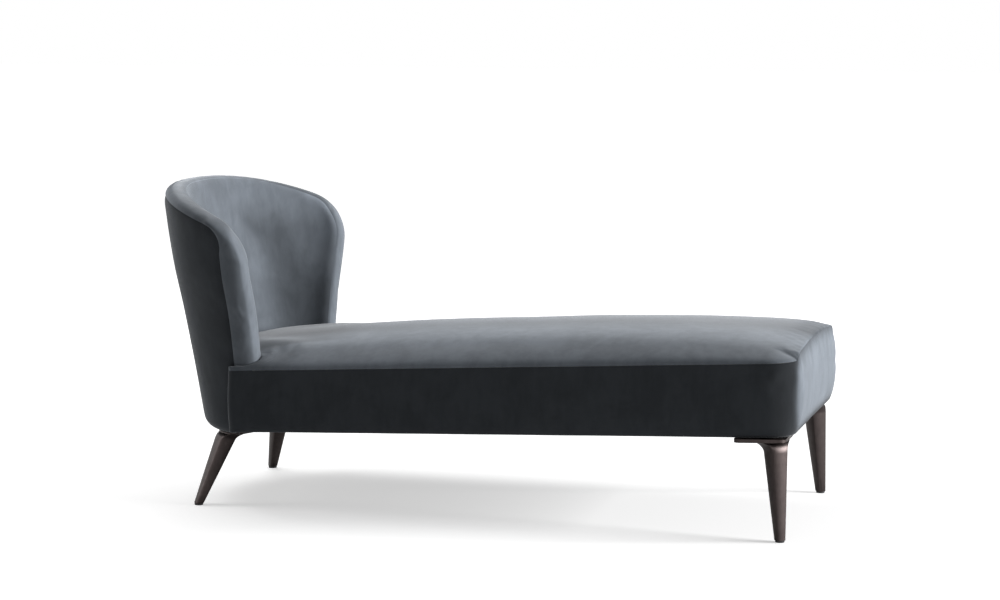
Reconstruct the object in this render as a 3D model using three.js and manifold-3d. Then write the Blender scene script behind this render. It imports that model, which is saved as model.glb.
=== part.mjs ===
// Chaise longue: a long crowned seat on a timber frame, a padded back curved round the
// sitter, and four cast legs. Millimetres, +Z up, +X towards the foot end, +Y to the
// sitter's left. While it is being built, x = 0 is the rear face of the seat block and
// z = 0 is the floor. The finished group is centred along its length.
import * as THREE from 'three';
import { mergeVertices } from 'three/addons/utils/BufferGeometryUtils.js';
import Module from 'manifold-3d';

const wasm = await Module();
wasm.setup();

// Driving dimensions of the seat
const seatLength = 1339;
const seatWidth = 612;
const undersideAtRear = 186;
const undersideAtFoot = 234;
const seamAtRear = 334;
const seamAtFoot = 407;
const crownHeight = 67.5;
const crownPeakFromRear = 760;
const crownRearReach = 870;
const endArch = 14;
const footCornerRadius = 64;
const rearCornerRadius = 26;
const sideBulge = 9;
const undersideTuck = 7;
const undersideTuckPower = 9;

// Driving dimensions of the back
const backBase = 174;
const rimAtCentre = 760;
const rimDrop = 94;
const rimFallPower = 2.5;
const wingReach = 64;
const padThickness = 60;
const rimCornerRadius = 78;
const baseEdgeRadius = 30;
const depthAtBase = 177;
const depthAtWaist = 225;
const depthAtRim = 268;
const halfWidthAtBase = 266;
const halfWidthAtSeat = 290;
const halfWidthAtWaist = 325;
const halfWidthAtShoulder = 372;
const halfWidthAtRim = 400;
const seatHeightShare = 0.27;
const waistHeightShare = 0.5;
const shoulderHeightShare = 0.7;

// Driving dimensions of the legs
const footLegSetback = 18;
const footLegProud = 3;
const rearLegTopX = -46;
const rearLegTopY = 182;
const rearLegTipX = -95;
const rearLegTipY = 250;
const legTopHalf = 28.5;
const legTipHalf = 12.5;
const footLegFillet = 22;
const rearLegFillet = 14;
const flangeThickness = 8;
const flangeWidth = 54;
const flangeArm = 118;
const rearArmLength = 94;
const rearArmWidth = 40;
const glideRadius = 10.5;
const glideHeight = 4;
const glideStemRadius = 4;
const glideStemLength = 12;

// Covers, padding and frame
const gap = 0.3;
const coverThickness = 2.5;
const hemWidth = 24;
const dustCoverThickness = 1.2;
const outerSeamDepth = 36;
const innerSeamAngleShare = 0.52;
const railThickness = 25;
const railHeight = 88;
const frameInset = 27;
const frameRearInset = 14;
const crossRailCount = 2;
const cornerBlockSize = 70;
const cornerBlockHeight = 45;
const webbingCount = 10;
const webbingWidth = 58;
const webbingThickness = 1.8;
const webbingLanding = 18;
const baseBoardThickness = 18;
const baseRailHeight = 22;
const shellBoardThickness = 12;
const shellBoardEdge = 24;
const boltRadius = 4;
const boltHeadRadius = 7;
const boltHeadHeight = 4.5;
const boltLength = 42;
const rearBoltLength = 24;
const screwRadius = 2.5;
const screwHeadRadius = 4.5;
const screwLength = 60;

// Fineness of the curved surfaces
const legSides = 14;
const legRings = 4;
const roundSides = 10;
const cutOverrun = 60;

// Sizes that follow from the ones above
const halfWidth = seatWidth / 2;
const footLegOuterHalf = halfWidth + footLegProud;
const noseRadius = padThickness / 2;
const seatTilt = Math.atan2(undersideAtFoot - undersideAtRear, seatLength);
const wingCentre = wingReach - noseRadius;
const backHeight = rimAtCentre - backBase;
const quarter = Math.PI / 2;
const slack = 1e-3;
const weld = 1e-4;

function underside(x) {
  return undersideAtRear + (undersideAtFoot - undersideAtRear) * x / seatLength;
}

function seamHeight(x) {
  return seamAtRear + (seamAtFoot - seamAtRear) * x / seatLength;
}

// Finishes
const finishes = {
  velvet: { color: '#565e64', roughness: 0.85, metalness: 0 },
  velvetBand: { color: '#4a5157', roughness: 0.85, metalness: 0 },
  velvetShade: { color: '#3b4146', roughness: 0.85, metalness: 0 },
  lining: { color: '#1f2022', roughness: 0.95, metalness: 0 },
  foam: { color: '#d9cfae', roughness: 0.95, metalness: 0 },
  timber: { color: '#b98f5e', roughness: 0.7, metalness: 0 },
  plywood: { color: '#c9a472', roughness: 0.65, metalness: 0 },
  webbing: { color: '#6b5a44', roughness: 0.9, metalness: 0 },
  castMetal: { color: '#4d4444', roughness: 0.3, metalness: 0.9 },
  steel: { color: '#8c8f93', roughness: 0.35, metalness: 1 },
  glide: { color: '#2b2b2c', roughness: 0.6, metalness: 0 },
};

// Meshes and solids
function named(name, geometry, finish) {
  geometry.computeBoundingBox();
  const middle = geometry.boundingBox.getCenter(new THREE.Vector3());
  geometry.translate(-middle.x, -middle.y, -middle.z);
  const mesh = new THREE.Mesh(geometry, new THREE.MeshStandardMaterial(finishes[finish]));
  mesh.name = name;
  mesh.position.copy(middle);
  return mesh;
}

function facedOut(geometry) {
  const place = geometry.getAttribute('position');
  const index = geometry.getIndex().array;
  const [a, b, c] = [new THREE.Vector3(), new THREE.Vector3(), new THREE.Vector3()];
  let volume = 0;
  for (let t = 0; t < index.length; t += 3) {
    a.fromBufferAttribute(place, index[t]);
    b.fromBufferAttribute(place, index[t + 1]);
    c.fromBufferAttribute(place, index[t + 2]);
    volume += a.dot(b.cross(c));
  }
  if (volume < 0) {
    for (let t = 0; t < index.length; t += 3) {
      [index[t + 1], index[t + 2]] = [index[t + 2], index[t + 1]];
    }
  }
  return geometry;
}

function closedBody(points, triangles) {
  const loose = new THREE.BufferGeometry();
  loose.setAttribute('position', new THREE.Float32BufferAttribute(points.flatMap((p) => p.toArray()), 3));
  loose.setIndex(triangles);
  const body = mergeVertices(loose, weld);
  const index = body.getIndex().array;
  const kept = [];
  for (let t = 0; t < index.length; t += 3) {
    const [a, b, c] = [index[t], index[t + 1], index[t + 2]];
    if (a !== b && b !== c && c !== a) kept.push(a, b, c);
  }
  body.setIndex(kept);
  return facedOut(body);
}

// A body between two grids of points that have the same rows and columns.
function betweenGrids(front, back) {
  const columns = front.length;
  const rows = front[0].length;
  const points = [...front.flat(), ...back.flat()];
  const shift = columns * rows;
  const at = (i, j) => i * rows + j;
  const triangles = [];
  const quad = (a, b, c, d) => triangles.push(a, b, c, a, c, d);
  for (let i = 0; i + 1 < columns; i += 1) {
    for (let j = 0; j + 1 < rows; j += 1) {
      quad(at(i, j), at(i + 1, j), at(i + 1, j + 1), at(i, j + 1));
      quad(shift + at(i, j), shift + at(i, j + 1), shift + at(i + 1, j + 1), shift + at(i + 1, j));
    }
    quad(at(i, 0), shift + at(i, 0), shift + at(i + 1, 0), at(i + 1, 0));
    quad(at(i, rows - 1), at(i + 1, rows - 1), shift + at(i + 1, rows - 1), shift + at(i, rows - 1));
  }
  for (let j = 0; j + 1 < rows; j += 1) {
    quad(at(0, j), at(0, j + 1), shift + at(0, j + 1), shift + at(0, j));
    const last = columns - 1;
    quad(at(last, j), shift + at(last, j), shift + at(last, j + 1), at(last, j + 1));
  }
  return closedBody(points, triangles);
}

// A body lofted through closed rings of points, closed by a fan at each end.
function lofted(rings) {
  const count = rings[0].length;
  const points = rings.flat();
  const triangles = [];
  for (let r = 0; r + 1 < rings.length; r += 1) {
    for (let k = 0; k < count; k += 1) {
      const a = r * count + k;
      const b = r * count + (k + 1) % count;
      triangles.push(a, b, b + count, a, b + count, a + count);
    }
  }
  for (const [start, first] of [[0, true], [(rings.length - 1) * count, false]]) {
    const middle = new THREE.Vector3();
    for (let k = 0; k < count; k += 1) middle.addScaledVector(points[start + k], 1 / count);
    const hub = points.push(middle) - 1;
    for (let k = 0; k < count; k += 1) {
      const a = start + k;
      const b = start + (k + 1) % count;
      if (first) triangles.push(b, a, hub);
      else triangles.push(a, b, hub);
    }
  }
  return closedBody(points, triangles);
}

function solidOf(geometry) {
  const bare = geometry.clone();
  for (const name of Object.keys(bare.attributes)) {
    if (name !== 'position') bare.deleteAttribute(name);
  }
  const merged = mergeVertices(bare, weld);
  const mesh = new wasm.Mesh({
    numProp: 3,
    vertProperties: new Float32Array(merged.getAttribute('position').array),
    triVerts: new Uint32Array(merged.getIndex().array),
  });
  return new wasm.Manifold(mesh);
}

function geometryOf(solid) {
  const mesh = solid.getMesh();
  const geometry = new THREE.BufferGeometry();
  geometry.setAttribute('position', new THREE.BufferAttribute(new Float32Array(mesh.vertProperties), 3));
  geometry.setIndex(new THREE.BufferAttribute(new Uint32Array(mesh.triVerts), 1));
  return geometry;
}

function boxBetween(x0, x1, y0, y1, z0, z1) {
  const geometry = new THREE.BoxGeometry(x1 - x0, y1 - y0, z1 - z0);
  return geometry.translate((x0 + x1) / 2, (y0 + y1) / 2, (z0 + z1) / 2);
}

function post(radius, z0, z1, x, y) {
  const geometry = new THREE.CylinderGeometry(radius, radius, z1 - z0, roundSides);
  return geometry.rotateX(quarter).translate(x, y, (z0 + z1) / 2);
}

// A smooth line through stations of [height, value], level at neither end.
function through(stations, height) {
  const last = stations.length - 1;
  let k = 0;
  while (k < last - 1 && height > stations[k + 1][0]) k += 1;
  const slope = (i) => {
    const low = Math.max(i - 1, 0);
    const high = Math.min(i + 1, last);
    return (stations[high][1] - stations[low][1]) / (stations[high][0] - stations[low][0]);
  };
  const span = stations[k + 1][0] - stations[k][0];
  const t = (height - stations[k][0]) / span;
  const [v0, v1] = [stations[k][1], stations[k + 1][1]];
  const [m0, m1] = [slope(k) * span, slope(k + 1) * span];
  if (t < 0) return v0 + m0 * t;
  if (t > 1) return v1 + m1 * (t - 1);
  const blend = t * t * (3 - 2 * t);
  const lead = t * (1 - t) * (1 - t) * m0;
  const trail = t * t * (t - 1) * m1;
  return v0 + (v1 - v0) * blend + lead + trail;
}

// Turns distances from two edges that meet in a square corner into distances that
// follow a round corner of the given radius.
function roundedCorner(across, down, radius) {
  if (across >= radius || down >= radius) return [across, down];
  const ring = Math.min(across, down);
  const reach = radius - ring;
  let turn = quarter / 2 * (radius - down) / reach;
  if (down < across) turn = quarter - quarter / 2 * (radius - across) / reach;
  return [radius - reach * Math.cos(turn), radius - reach * Math.sin(turn)];
}

// The back: a curved sheet, U-shaped in plan, that leans out all round
const widthStations = [
  [backBase, halfWidthAtBase - noseRadius],
  [backBase + backHeight * seatHeightShare, halfWidthAtSeat - noseRadius],
  [backBase + backHeight * waistHeightShare, halfWidthAtWaist - noseRadius],
  [backBase + backHeight * shoulderHeightShare, halfWidthAtShoulder - noseRadius],
  [rimAtCentre, halfWidthAtRim - noseRadius],
];
const depthStations = [
  [backBase, depthAtBase - noseRadius],
  [backBase + backHeight * waistHeightShare, depthAtWaist - noseRadius],
  [rimAtCentre, depthAtRim - noseRadius],
];
const planSteps = 40;

// The plan line of the sheet's middle at one height, from the wing's front edge to the
// centre, as points with their distance along the line.
function planLine(z) {
  const width = through(widthStations, z);
  const depth = through(depthStations, z);
  const line = [{ x: wingReach, y: width, run: 0 }];
  for (let k = 0; k <= planSteps; k += 1) {
    const angle = quarter * k / planSteps;
    const x = wingCentre - depth * Math.sin(angle);
    const y = width * Math.cos(angle);
    const before = line[line.length - 1];
    line.push({ x, y, run: before.run + Math.hypot(x - before.x, y - before.y) });
  }
  return line;
}

const rimRun = planLine(rimAtCentre)[planSteps + 1].run;

// Every fourth point of a plan line, for pieces that need no finer curve
function coarse(line) {
  return line.filter((_, k) => k % 4 === 1);
}

function alongPlan(line, run) {
  let k = 0;
  while (k < line.length - 2 && run > line[k + 1].run) k += 1;
  const share = (run - line[k].run) / (line[k + 1].run - line[k].run);
  const x = line[k].x + (line[k + 1].x - line[k].x) * share;
  const y = line[k].y + (line[k + 1].y - line[k].y) * share;
  return new THREE.Vector2(x, y);
}

function rimHeight(run) {
  const share = Math.min(run / rimRun, 1);
  return rimAtCentre - rimDrop * (1 - share) ** rimFallPower;
}

// A place on the sheet, told by its distance across from the wing's front edge or its
// share of the way inward to the centre, and by its distance down from the rim, its
// share of the fall to the base, or its lift above the base.
function sheetPlace({ side, across, inward, down, fall, lift }) {
  const [run0, drop] = roundedCorner(across ?? rimCornerRadius, down ?? rimCornerRadius, rimCornerRadius);
  const inner = inward !== undefined;
  const top = rimHeight(inner ? rimCornerRadius + (rimRun - rimCornerRadius) * inward : run0);
  let z = backBase + lift;
  const lowerTop = top - rimCornerRadius;
  if (down !== undefined) z = top - drop;
  else if (fall !== undefined) z = lowerTop + (backBase + baseEdgeRadius - lowerTop) * fall;
  const whole = planLine(z)[planSteps + 1].run;
  const run = inner ? rimCornerRadius + (whole - rimCornerRadius) * inward : run0;
  const at = (du, dz) => {
    const p = alongPlan(planLine(z + dz), run + du);
    return new THREE.Vector3(p.x, p.y, z + dz);
  };
  const step = inward === 1 ? -1 : 1;
  const middle = at(0, 0);
  const along = at(step, 0).sub(middle).multiplyScalar(step);
  const upward = at(0, 1).sub(middle);
  const facing = along.cross(upward);
  if (inward === 1) facing.y = 0;
  facing.normalize();
  middle.y *= side;
  facing.y *= side;
  const edge = Math.min(across ?? Infinity, down ?? Infinity);
  return { middle, facing, edge, rise: z - backBase };
}

function arcHeight(radius, offset) {
  return Math.sqrt(Math.max(radius ** 2 - offset ** 2, 0));
}

// The two faces of the padded sheet at a place, with the pad grown or shrunk all round.
function paddedFaces(spec, grow) {
  const { middle, facing, edge, rise } = sheetPlace(spec);
  const full = noseRadius + grow;
  const half = edge < noseRadius ? arcHeight(full, noseRadius - edge) : full;
  let outer = half;
  if (rise < baseEdgeRadius) {
    const turned = noseRadius - baseEdgeRadius + arcHeight(baseEdgeRadius + grow, baseEdgeRadius - rise);
    outer = Math.min(half, turned);
  }
  const front = middle.clone().addScaledVector(facing, outer);
  const back = middle.clone().addScaledVector(facing, -half);
  return { front, back };
}

function boardFaces(spec, grow) {
  const { middle, facing } = sheetPlace(spec);
  const half = shellBoardThickness / 2 + grow;
  const front = middle.clone().addScaledVector(facing, half);
  const back = middle.clone().addScaledVector(facing, -half);
  return { front, back };
}

const cornerShares = [0, 0.5, 1];
const inwardShares = [0.17, 0.34, 0.51, 0.68, 0.84, 1];
const fallShares = [0.25, 0.5, 0.75, 1];
const noseShares = [0, innerSeamAngleShare / 2, innerSeamAngleShare, 0.76, 1];

// Depths and lifts that follow the pad's rounded edges are worked out for each growth.
const noseDepth = (share) => (grow) => noseRadius - (noseRadius + grow) * Math.cos(quarter * share);
const fixedDepth = (depth) => () => depth;
const baseLift = (share) => (grow) => baseEdgeRadius - (baseEdgeRadius + grow) * Math.cos(quarter * share);
const baseLifts = [2 / 3, 1 / 3, 0].map(baseLift);

// The wing's front edge, rim and other wing as one line of stations. Each station turns
// a depth in from that line into a place on the sheet.
function edgeStations() {
  const climb = [...[...baseLifts].reverse().map((lift) => (grow) => ({ lift: lift(grow) })),
    ...[...fallShares].reverse().map((fall) => () => ({ fall }))];
  const slant = (depth, share) => rimCornerRadius - share * (rimCornerRadius - depth);
  const half = (side) => [
    ...climb.map((row) => (depth) => (grow) => ({ side, across: depth(grow), ...row(grow) })),
    ...cornerShares.map((share) => (depth) => (grow) => (
      { side, across: depth(grow), down: slant(depth(grow), share) })),
    ...[...cornerShares].reverse().slice(1).map((share) => (depth) => (grow) => (
      { side, down: depth(grow), across: slant(depth(grow), share) })),
    ...inwardShares.map((inward) => (depth) => (grow) => ({ side, down: depth(grow), inward })),
  ];
  return [...half(-1), ...half(1).reverse().slice(1)];
}

// Four-cornered cells that cover the sheet from a first depth inward, with strips between
// the given depths outside it. A corner tells its place for any growth of the pad.
function sheetCells(firstDepth, stripDepths) {
  const depths = cornerShares.map((share) => rimCornerRadius - (1 - share) * (rimCornerRadius - firstDepth));
  const inwardColumns = inwardShares.map((inward) => ({ inward }));
  const halfColumns = [...depths.map((across) => ({ across })), ...inwardColumns];
  const rows = [...depths.map((down) => () => ({ down })), ...fallShares.map((fall) => () => ({ fall })),
    ...baseLifts.map((lift) => (grow) => ({ lift: lift(grow) }))];
  const columns = [...halfColumns.map((column) => ({ side: -1, ...column })),
    ...halfColumns.map((column) => ({ side: 1, ...column })).reverse().slice(1)];
  const cells = [];
  for (let i = 0; i + 1 < columns.length; i += 1) {
    for (let j = 0; j + 1 < rows.length; j += 1) {
      const at = (c, r) => (grow) => ({ ...columns[c], ...rows[r](grow) });
      cells.push([at(i, j), at(i, j + 1), at(i + 1, j + 1), at(i + 1, j)]);
    }
  }
  const stations = edgeStations();
  const strips = [...stripDepths, fixedDepth(firstDepth)];
  for (let s = 0; s + 1 < stations.length; s += 1) {
    for (let k = 0; k + 1 < strips.length; k += 1) {
      const [near, far] = [strips[k], strips[k + 1]];
      cells.push([stations[s](near), stations[s](far), stations[s + 1](far), stations[s + 1](near)]);
    }
  }
  return cells;
}

// A closed body from cells, each corner with a front and a back point, walled along the
// edges that only one cell has.
function thickSheet(cells, facesOf) {
  const nodes = new Map();
  const points = [];
  const keyOf = (p) => p.toArray().map((value) => value.toFixed(3)).join(' ');
  const nodeOf = (corner) => {
    const faces = facesOf(corner);
    const key = `${keyOf(faces.front)} ${keyOf(faces.back)}`;
    if (!nodes.has(key)) {
      nodes.set(key, points.length);
      points.push(faces.front, faces.back);
    }
    return nodes.get(key);
  };
  const triangles = [];
  const edges = new Map();
  for (const cell of cells) {
    const corners = cell.map(nodeOf).filter((node, k, all) => node !== all[(k + 1) % all.length]);
    for (let k = 1; k + 1 < corners.length; k += 1) {
      triangles.push(corners[0], corners[k], corners[k + 1]);
      triangles.push(corners[0] + 1, corners[k + 1] + 1, corners[k] + 1);
    }
    corners.forEach((a, k) => {
      const b = corners[(k + 1) % corners.length];
      edges.set(`${a} ${b}`, [a, b]);
    });
  }
  for (const [a, b] of edges.values()) {
    if (!edges.has(`${b} ${a}`)) triangles.push(b, a, a + 1, b, a + 1, b + 1);
  }
  return closedBody(points, triangles);
}

// The whole padded back, grown by a clearance or shrunk by a cover
function backEnvelope(grow) {
  const cells = sheetCells(outerSeamDepth, noseShares.map(noseDepth));
  return solidOf(thickSheet(cells, (corner) => paddedFaces(corner(grow), grow)));
}

// The wings stand on the seat: the room that the seat block takes from the back.
const shelfRise = 4;

function seatRoom(clearance) {
  const x0 = clearance - gap;
  const x1 = wingReach + cutOverrun;
  const shelf = (x) => seamHeight(x) + shelfRise - clearance;
  const floor = backBase - cutOverrun;
  const outline = new THREE.Shape([
    new THREE.Vector2(x0, floor),
    new THREE.Vector2(x1, floor),
    new THREE.Vector2(x1, shelf(x1)),
    new THREE.Vector2(x0, shelf(x0)),
  ]);
  const width = halfWidthAtRim + cutOverrun;
  const room = new THREE.ExtrudeGeometry(outline, { depth: width * 2, bevelEnabled: false });
  return solidOf(room.rotateX(quarter).translate(0, width, 0));
}

function backTaken(grow) {
  return backEnvelope(grow).subtract(seatRoom(grow));
}

// The seat block: straight sides, a crowned top and a rear face behind the wings
const seatCornerShares = [0, 0.45, 1];
const seatInwardShares = [0.17, 0.4, 0.7, 1];
const seatRearReach = depthAtRim - wingCentre;
const seatBackShares = [0.06, 0.15, 0.27, 0.41, 0.56, 0.72, 0.87, 1];
const sideRiseShares = [0, 0.08, 0.3, 0.7, 1];

function roll(share) {
  return Math.sqrt(Math.max(1 - share * share, 0));
}

function sideOffset(rise) {
  return sideBulge * Math.sin(Math.PI * rise) - undersideTuck * (1 - rise) ** undersideTuckPower;
}

// One place on the seat's top, told by its distances in from the side seam and from the
// foot end's seam; across beyond the corner runs to the middle, along to the rear.
function seatPlace(side, across, along, grow, crown) {
  const width = halfWidth + grow;
  const length = seatLength + grow;
  const [acrossTurned, alongTurned] = roundedCorner(across, along, footCornerRadius + grow);
  const x = length - alongTurned;
  const y = side * (width - acrossTurned);
  const forward = length - along - crownPeakFromRear;
  const share = forward > 0 ? forward / (length - crownPeakFromRear) : -forward / crownRearReach;
  const arch = endArch + grow;
  const height = arch + (crown + grow - arch) * roll(share);
  return new THREE.Vector3(x, y, seamHeight(x) + height * roll(1 - across / width));
}

function seatBlank(grow, crown = crownHeight) {
  const radius = footCornerRadius + grow;
  const width = halfWidth + grow;
  const run = seatLength + grow + seatRearReach;
  const corner = seatCornerShares.map((share) => radius * share);
  const acrossHalf = [...corner, ...seatInwardShares.map((share) => radius + (width - radius) * share)];
  const alongAll = [...corner, ...seatBackShares.map((share) => radius + (run - radius) * share)];
  const columns = [...acrossHalf.map((across) => [-1, across]),
    ...acrossHalf.map((across) => [1, across]).reverse().slice(1)];
  const lineOf = ([side, across]) => alongAll.map((along) => seatPlace(side, across, along, grow, crown));
  const top = columns.map(lineOf);
  const last = alongAll.length - 1;
  const rim = [
    ...alongAll.map((_, k) => top[0][last - k]),
    ...columns.slice(1, -1).map((_, k) => top[k + 1][0]),
    ...alongAll.map((_, k) => top[columns.length - 1][k]),
    ...columns.slice(1, -1).map((_, k) => top[columns.length - 2 - k][last]),
  ];
  const cx = seatLength - footCornerRadius;
  const cy = halfWidth - footCornerRadius;
  const outward = (p) => {
    const past = Math.max(Math.abs(p.y) - cy, 0);
    const direction = new THREE.Vector3(Math.max(p.x - cx, 0), Math.sign(p.y) * past, 0);
    if (p.x < cx) direction.set(0, Math.sign(p.y), 0);
    else if (Math.abs(p.y) < cy) direction.set(1, 0, 0);
    return direction.normalize();
  };
  const level = (rise) => rim.map((p) => {
    const shifted = p.clone();
    const onRearCut = p.x < 0 && Math.abs(p.y) < width - slack;
    if (!onRearCut) shifted.addScaledVector(outward(p), sideOffset(rise));
    const low = underside(shifted.x) - grow;
    shifted.z = low + (p.z - low) * rise;
    return shifted;
  });
  const rings = sideRiseShares.map(level);
  const points = [];
  const triangles = [];
  const put = (p) => points.push(p) - 1;
  const quad = (a, b, c, d) => triangles.push(...[a, b, c, a, c, d].map(put));
  const count = rim.length;
  for (let r = 0; r + 1 < rings.length; r += 1) {
    for (let k = 0; k < count; k += 1) {
      const n = (k + 1) % count;
      quad(rings[r][k], rings[r][n], rings[r + 1][n], rings[r + 1][k]);
    }
  }
  for (let i = 0; i + 1 < columns.length; i += 1) {
    for (let j = 0; j < last; j += 1) quad(top[i][j], top[i + 1][j], top[i + 1][j + 1], top[i][j + 1]);
  }
  const hub = new THREE.Vector3(seatLength / 2, 0, underside(seatLength / 2) - grow);
  for (let k = 0; k < count; k += 1) {
    triangles.push(...[rings[0][(k + 1) % count], rings[0][k], hub].map(put));
  }
  return solidOf(closedBody(points, triangles));
}

// What bounds the seat at its rear: the block's own rounded rear corners, and behind them
// the room inside the curve of the back, up to the middle of the back's sheet.
function blockOutline(grow) {
  const radius = rearCornerRadius + grow;
  const side = halfWidth + sideBulge + grow + gap;
  const wide = side + cutOverrun;
  const far = seatLength + cutOverrun;
  const outline = new THREE.Shape();
  outline.moveTo(far, -wide);
  outline.lineTo(far, wide);
  outline.lineTo(radius - grow, wide);
  outline.lineTo(radius - grow, side);
  outline.absarc(radius - grow, side - radius, radius, quarter, quarter * 2, false);
  outline.lineTo(-grow, radius - side);
  outline.absarc(radius - grow, radius - side, radius, quarter * 2, quarter * 3, false);
  outline.lineTo(radius - grow, -wide);
  return outline;
}

function seatBounds(grow) {
  const top = seamAtFoot + crownHeight + cutOverrun;
  const low = backBase - cutOverrun;
  const block = new THREE.ExtrudeGeometry(blockOutline(grow), {
    depth: top - low, bevelEnabled: false, curveSegments: 4,
  }).translate(0, 0, low);
  const levels = [low, backBase, seamAtRear - crownHeight, seamAtRear, seamAtRear + crownHeight, top];
  const inside = levels.map((z) => {
    const line = coarse(planLine(Math.max(z, backBase))).map(({ x, y }) => [x, y]);
    const near = [...line].reverse().slice(1).map(([x, y]) => [x, -y]);
    return [...line, ...near].map(([x, y]) => new THREE.Vector3(x, y, z));
  });
  return solidOf(block).add(solidOf(lofted(inside)));
}

function seatBody(grow) {
  return seatBlank(grow).intersect(seatBounds(grow)).subtract(backTaken(gap - grow));
}

// Seat frame, in its own group that tilts with the underside
const seatFrame = new THREE.Group();
seatFrame.position.z = undersideAtRear;
seatFrame.rotation.y = -seatTilt;
seatFrame.updateMatrixWorld();

function inSeatFrame(geometry) {
  return geometry.clone().applyMatrix4(seatFrame.matrixWorld);
}

const frameLength = seatLength / Math.cos(seatTilt);
const frameBase = coverThickness + gap;
const frameRear = frameRearInset;
const frameFoot = frameLength - frameInset;
const frameSide = halfWidth - frameInset;
const sideInner = frameSide - railThickness;
const railTop = frameBase + railHeight;
const webbingTop = railTop + gap + webbingThickness;

function slabInSeatFrame(x0, x1, z0, z1) {
  const wide = halfWidth + cutOverrun;
  return solidOf(inSeatFrame(boxBetween(x0, x1, -wide, wide, z0, z1)));
}

function levelSlab(z0, z1) {
  const wide = halfWidthAtRim + cutOverrun;
  return solidOf(boxBetween(-depthAtRim - cutOverrun, wingReach + cutOverrun, -wide, wide, z0, z1));
}

// Bolts and screws: a head below, a shank above
function boltGeometry(radius, headRadius, headHeight, length, clearance = 0) {
  const profile = [
    [0, -headHeight - clearance],
    [headRadius + clearance, -headHeight - clearance],
    [headRadius + clearance, clearance],
    [radius + clearance, clearance],
    [radius + clearance, length + clearance],
    [0, length + clearance],
  ].map(([x, y]) => new THREE.Vector2(x, y));
  return new THREE.LatheGeometry(profile, roundSides).rotateX(quarter);
}

// Seat
const lining = coverThickness + gap;
const seatSkirt = 5;
const boardMargin = lining + seatSkirt;
const lowered = (solid, drop) => solid.translate([0, 0, -drop]);
const hemOpening = lowered(seatBody(-hemWidth), hemWidth + lining);
const seatSkin = seatBody(0).subtract(seatBody(-coverThickness)).subtract(hemOpening);
const belowSeam = seatBlank(gap, endArch);
const boardSlab = slabInSeatFrame(-depthAtRim, frameRear - gap, frameBase, frameBase + baseBoardThickness);
const boardRoom = slabInSeatFrame(-depthAtRim, frameRear, -cutOverrun, frameBase + baseBoardThickness + gap);
const framePocket = solidOf(inSeatFrame(boxBetween(
  frameRear - gap, frameFoot + gap, -frameSide - gap, frameSide + gap, -cutOverrun, webbingTop + gap,
)));

const seat = {
  topCover: seatSkin.subtract(belowSeam.translate([0, 0, gap / 2])),
  sideCover: seatSkin.intersect(belowSeam.translate([0, 0, -gap / 2])),
  dustCover: lowered(seatBody(-hemWidth - gap), hemWidth + lining)
    .intersect(slabInSeatFrame(-depthAtRim, frameLength, 0, dustCoverThickness)),
  baseBoard: lowered(seatBody(-boardMargin), boardMargin).intersect(boardSlab),
  foam: seatBody(-lining).subtract(framePocket)
    .subtract(lowered(seatBody(gap - boardMargin), boardMargin).intersect(boardRoom)),
};
const baseRailLow = backBase + dustCoverThickness + gap;
const baseRailTop = baseRailLow + baseRailHeight;
const backSkirt = 4;
const baseClearance = 2.6;
const boardCells = sheetCells(shellBoardEdge, []);
const boardGrownCells = sheetCells(shellBoardEdge - gap, []);
const shellBoard = solidOf(thickSheet(boardCells, (corner) => boardFaces(corner(0), 0)));
const shellBoardRoom = solidOf(thickSheet(boardGrownCells, (corner) => boardFaces(corner(0), gap)));
const railInner = noseRadius - lining - backSkirt;
const railOuter = noseRadius - baseEdgeRadius - baseClearance;

// A band that follows the back's plan at its base, between two offsets from the middle
function baseBand(inner, outer, z0, z1) {
  const edge = (offset) => (z) => {
    const line = coarse(planLine(z));
    const half = line.map(({ x, y }, k) => {
      const before = line[Math.max(k - 1, 0)];
      const after = line[Math.min(k + 1, line.length - 1)];
      const normal = new THREE.Vector2(before.y - after.y, after.x - before.x).normalize();
      if (k === line.length - 1) normal.set(1, 0);
      return new THREE.Vector3(x - normal.x * offset, y - normal.y * offset, z);
    });
    const other = [...half].reverse().slice(1).map((p) => new THREE.Vector3(p.x, -p.y, p.z));
    return [...half, ...other];
  };
  const grid = (offset) => {
    const [low, high] = [edge(offset)(z0), edge(offset)(z1)];
    return low.map((p, k) => [p, high[k]]);
  };
  return solidOf(betweenGrids(grid(outer), grid(-inner)));
}

const skin = (face) => (corner) => ({
  front: paddedFaces(corner(0), 0)[face],
  back: paddedFaces(corner(-coverThickness), -coverThickness)[face],
});
const seamShift = gap / 2 / (noseRadius * quarter);
const insideCells = sheetCells(outerSeamDepth,
  [innerSeamAngleShare + seamShift, ...noseShares.slice(3)].map(noseDepth));
const outsideCells = sheetCells(outerSeamDepth + gap / 2, []);

// The border band goes round the nose of the pad: a few strips on its inner face, and
// the strips of its outer face as far as the outer seam.
function bandCells() {
  const stations = edgeStations();
  const inner = [noseShares[0], noseShares[1], innerSeamAngleShare - seamShift].map(noseDepth);
  const outer = [...noseShares.map(noseDepth), fixedDepth(outerSeamDepth - gap / 2)];
  const cells = [];
  for (let s = 0; s + 1 < stations.length; s += 1) {
    const at = (step, depth, face) => ({ place: stations[s + step](depth), face });
    for (let k = 0; k + 1 < inner.length; k += 1) {
      const [near, far] = [inner[k], inner[k + 1]];
      cells.push([at(0, near, 'back'), at(1, near, 'back'), at(1, far, 'back'), at(0, far, 'back')]);
    }
    for (let k = 0; k + 1 < outer.length; k += 1) {
      const [near, far] = [outer[k], outer[k + 1]];
      cells.push([at(0, near, 'front'), at(0, far, 'front'), at(1, far, 'front'), at(1, near, 'front')]);
    }
  }
  return cells;
}

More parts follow.
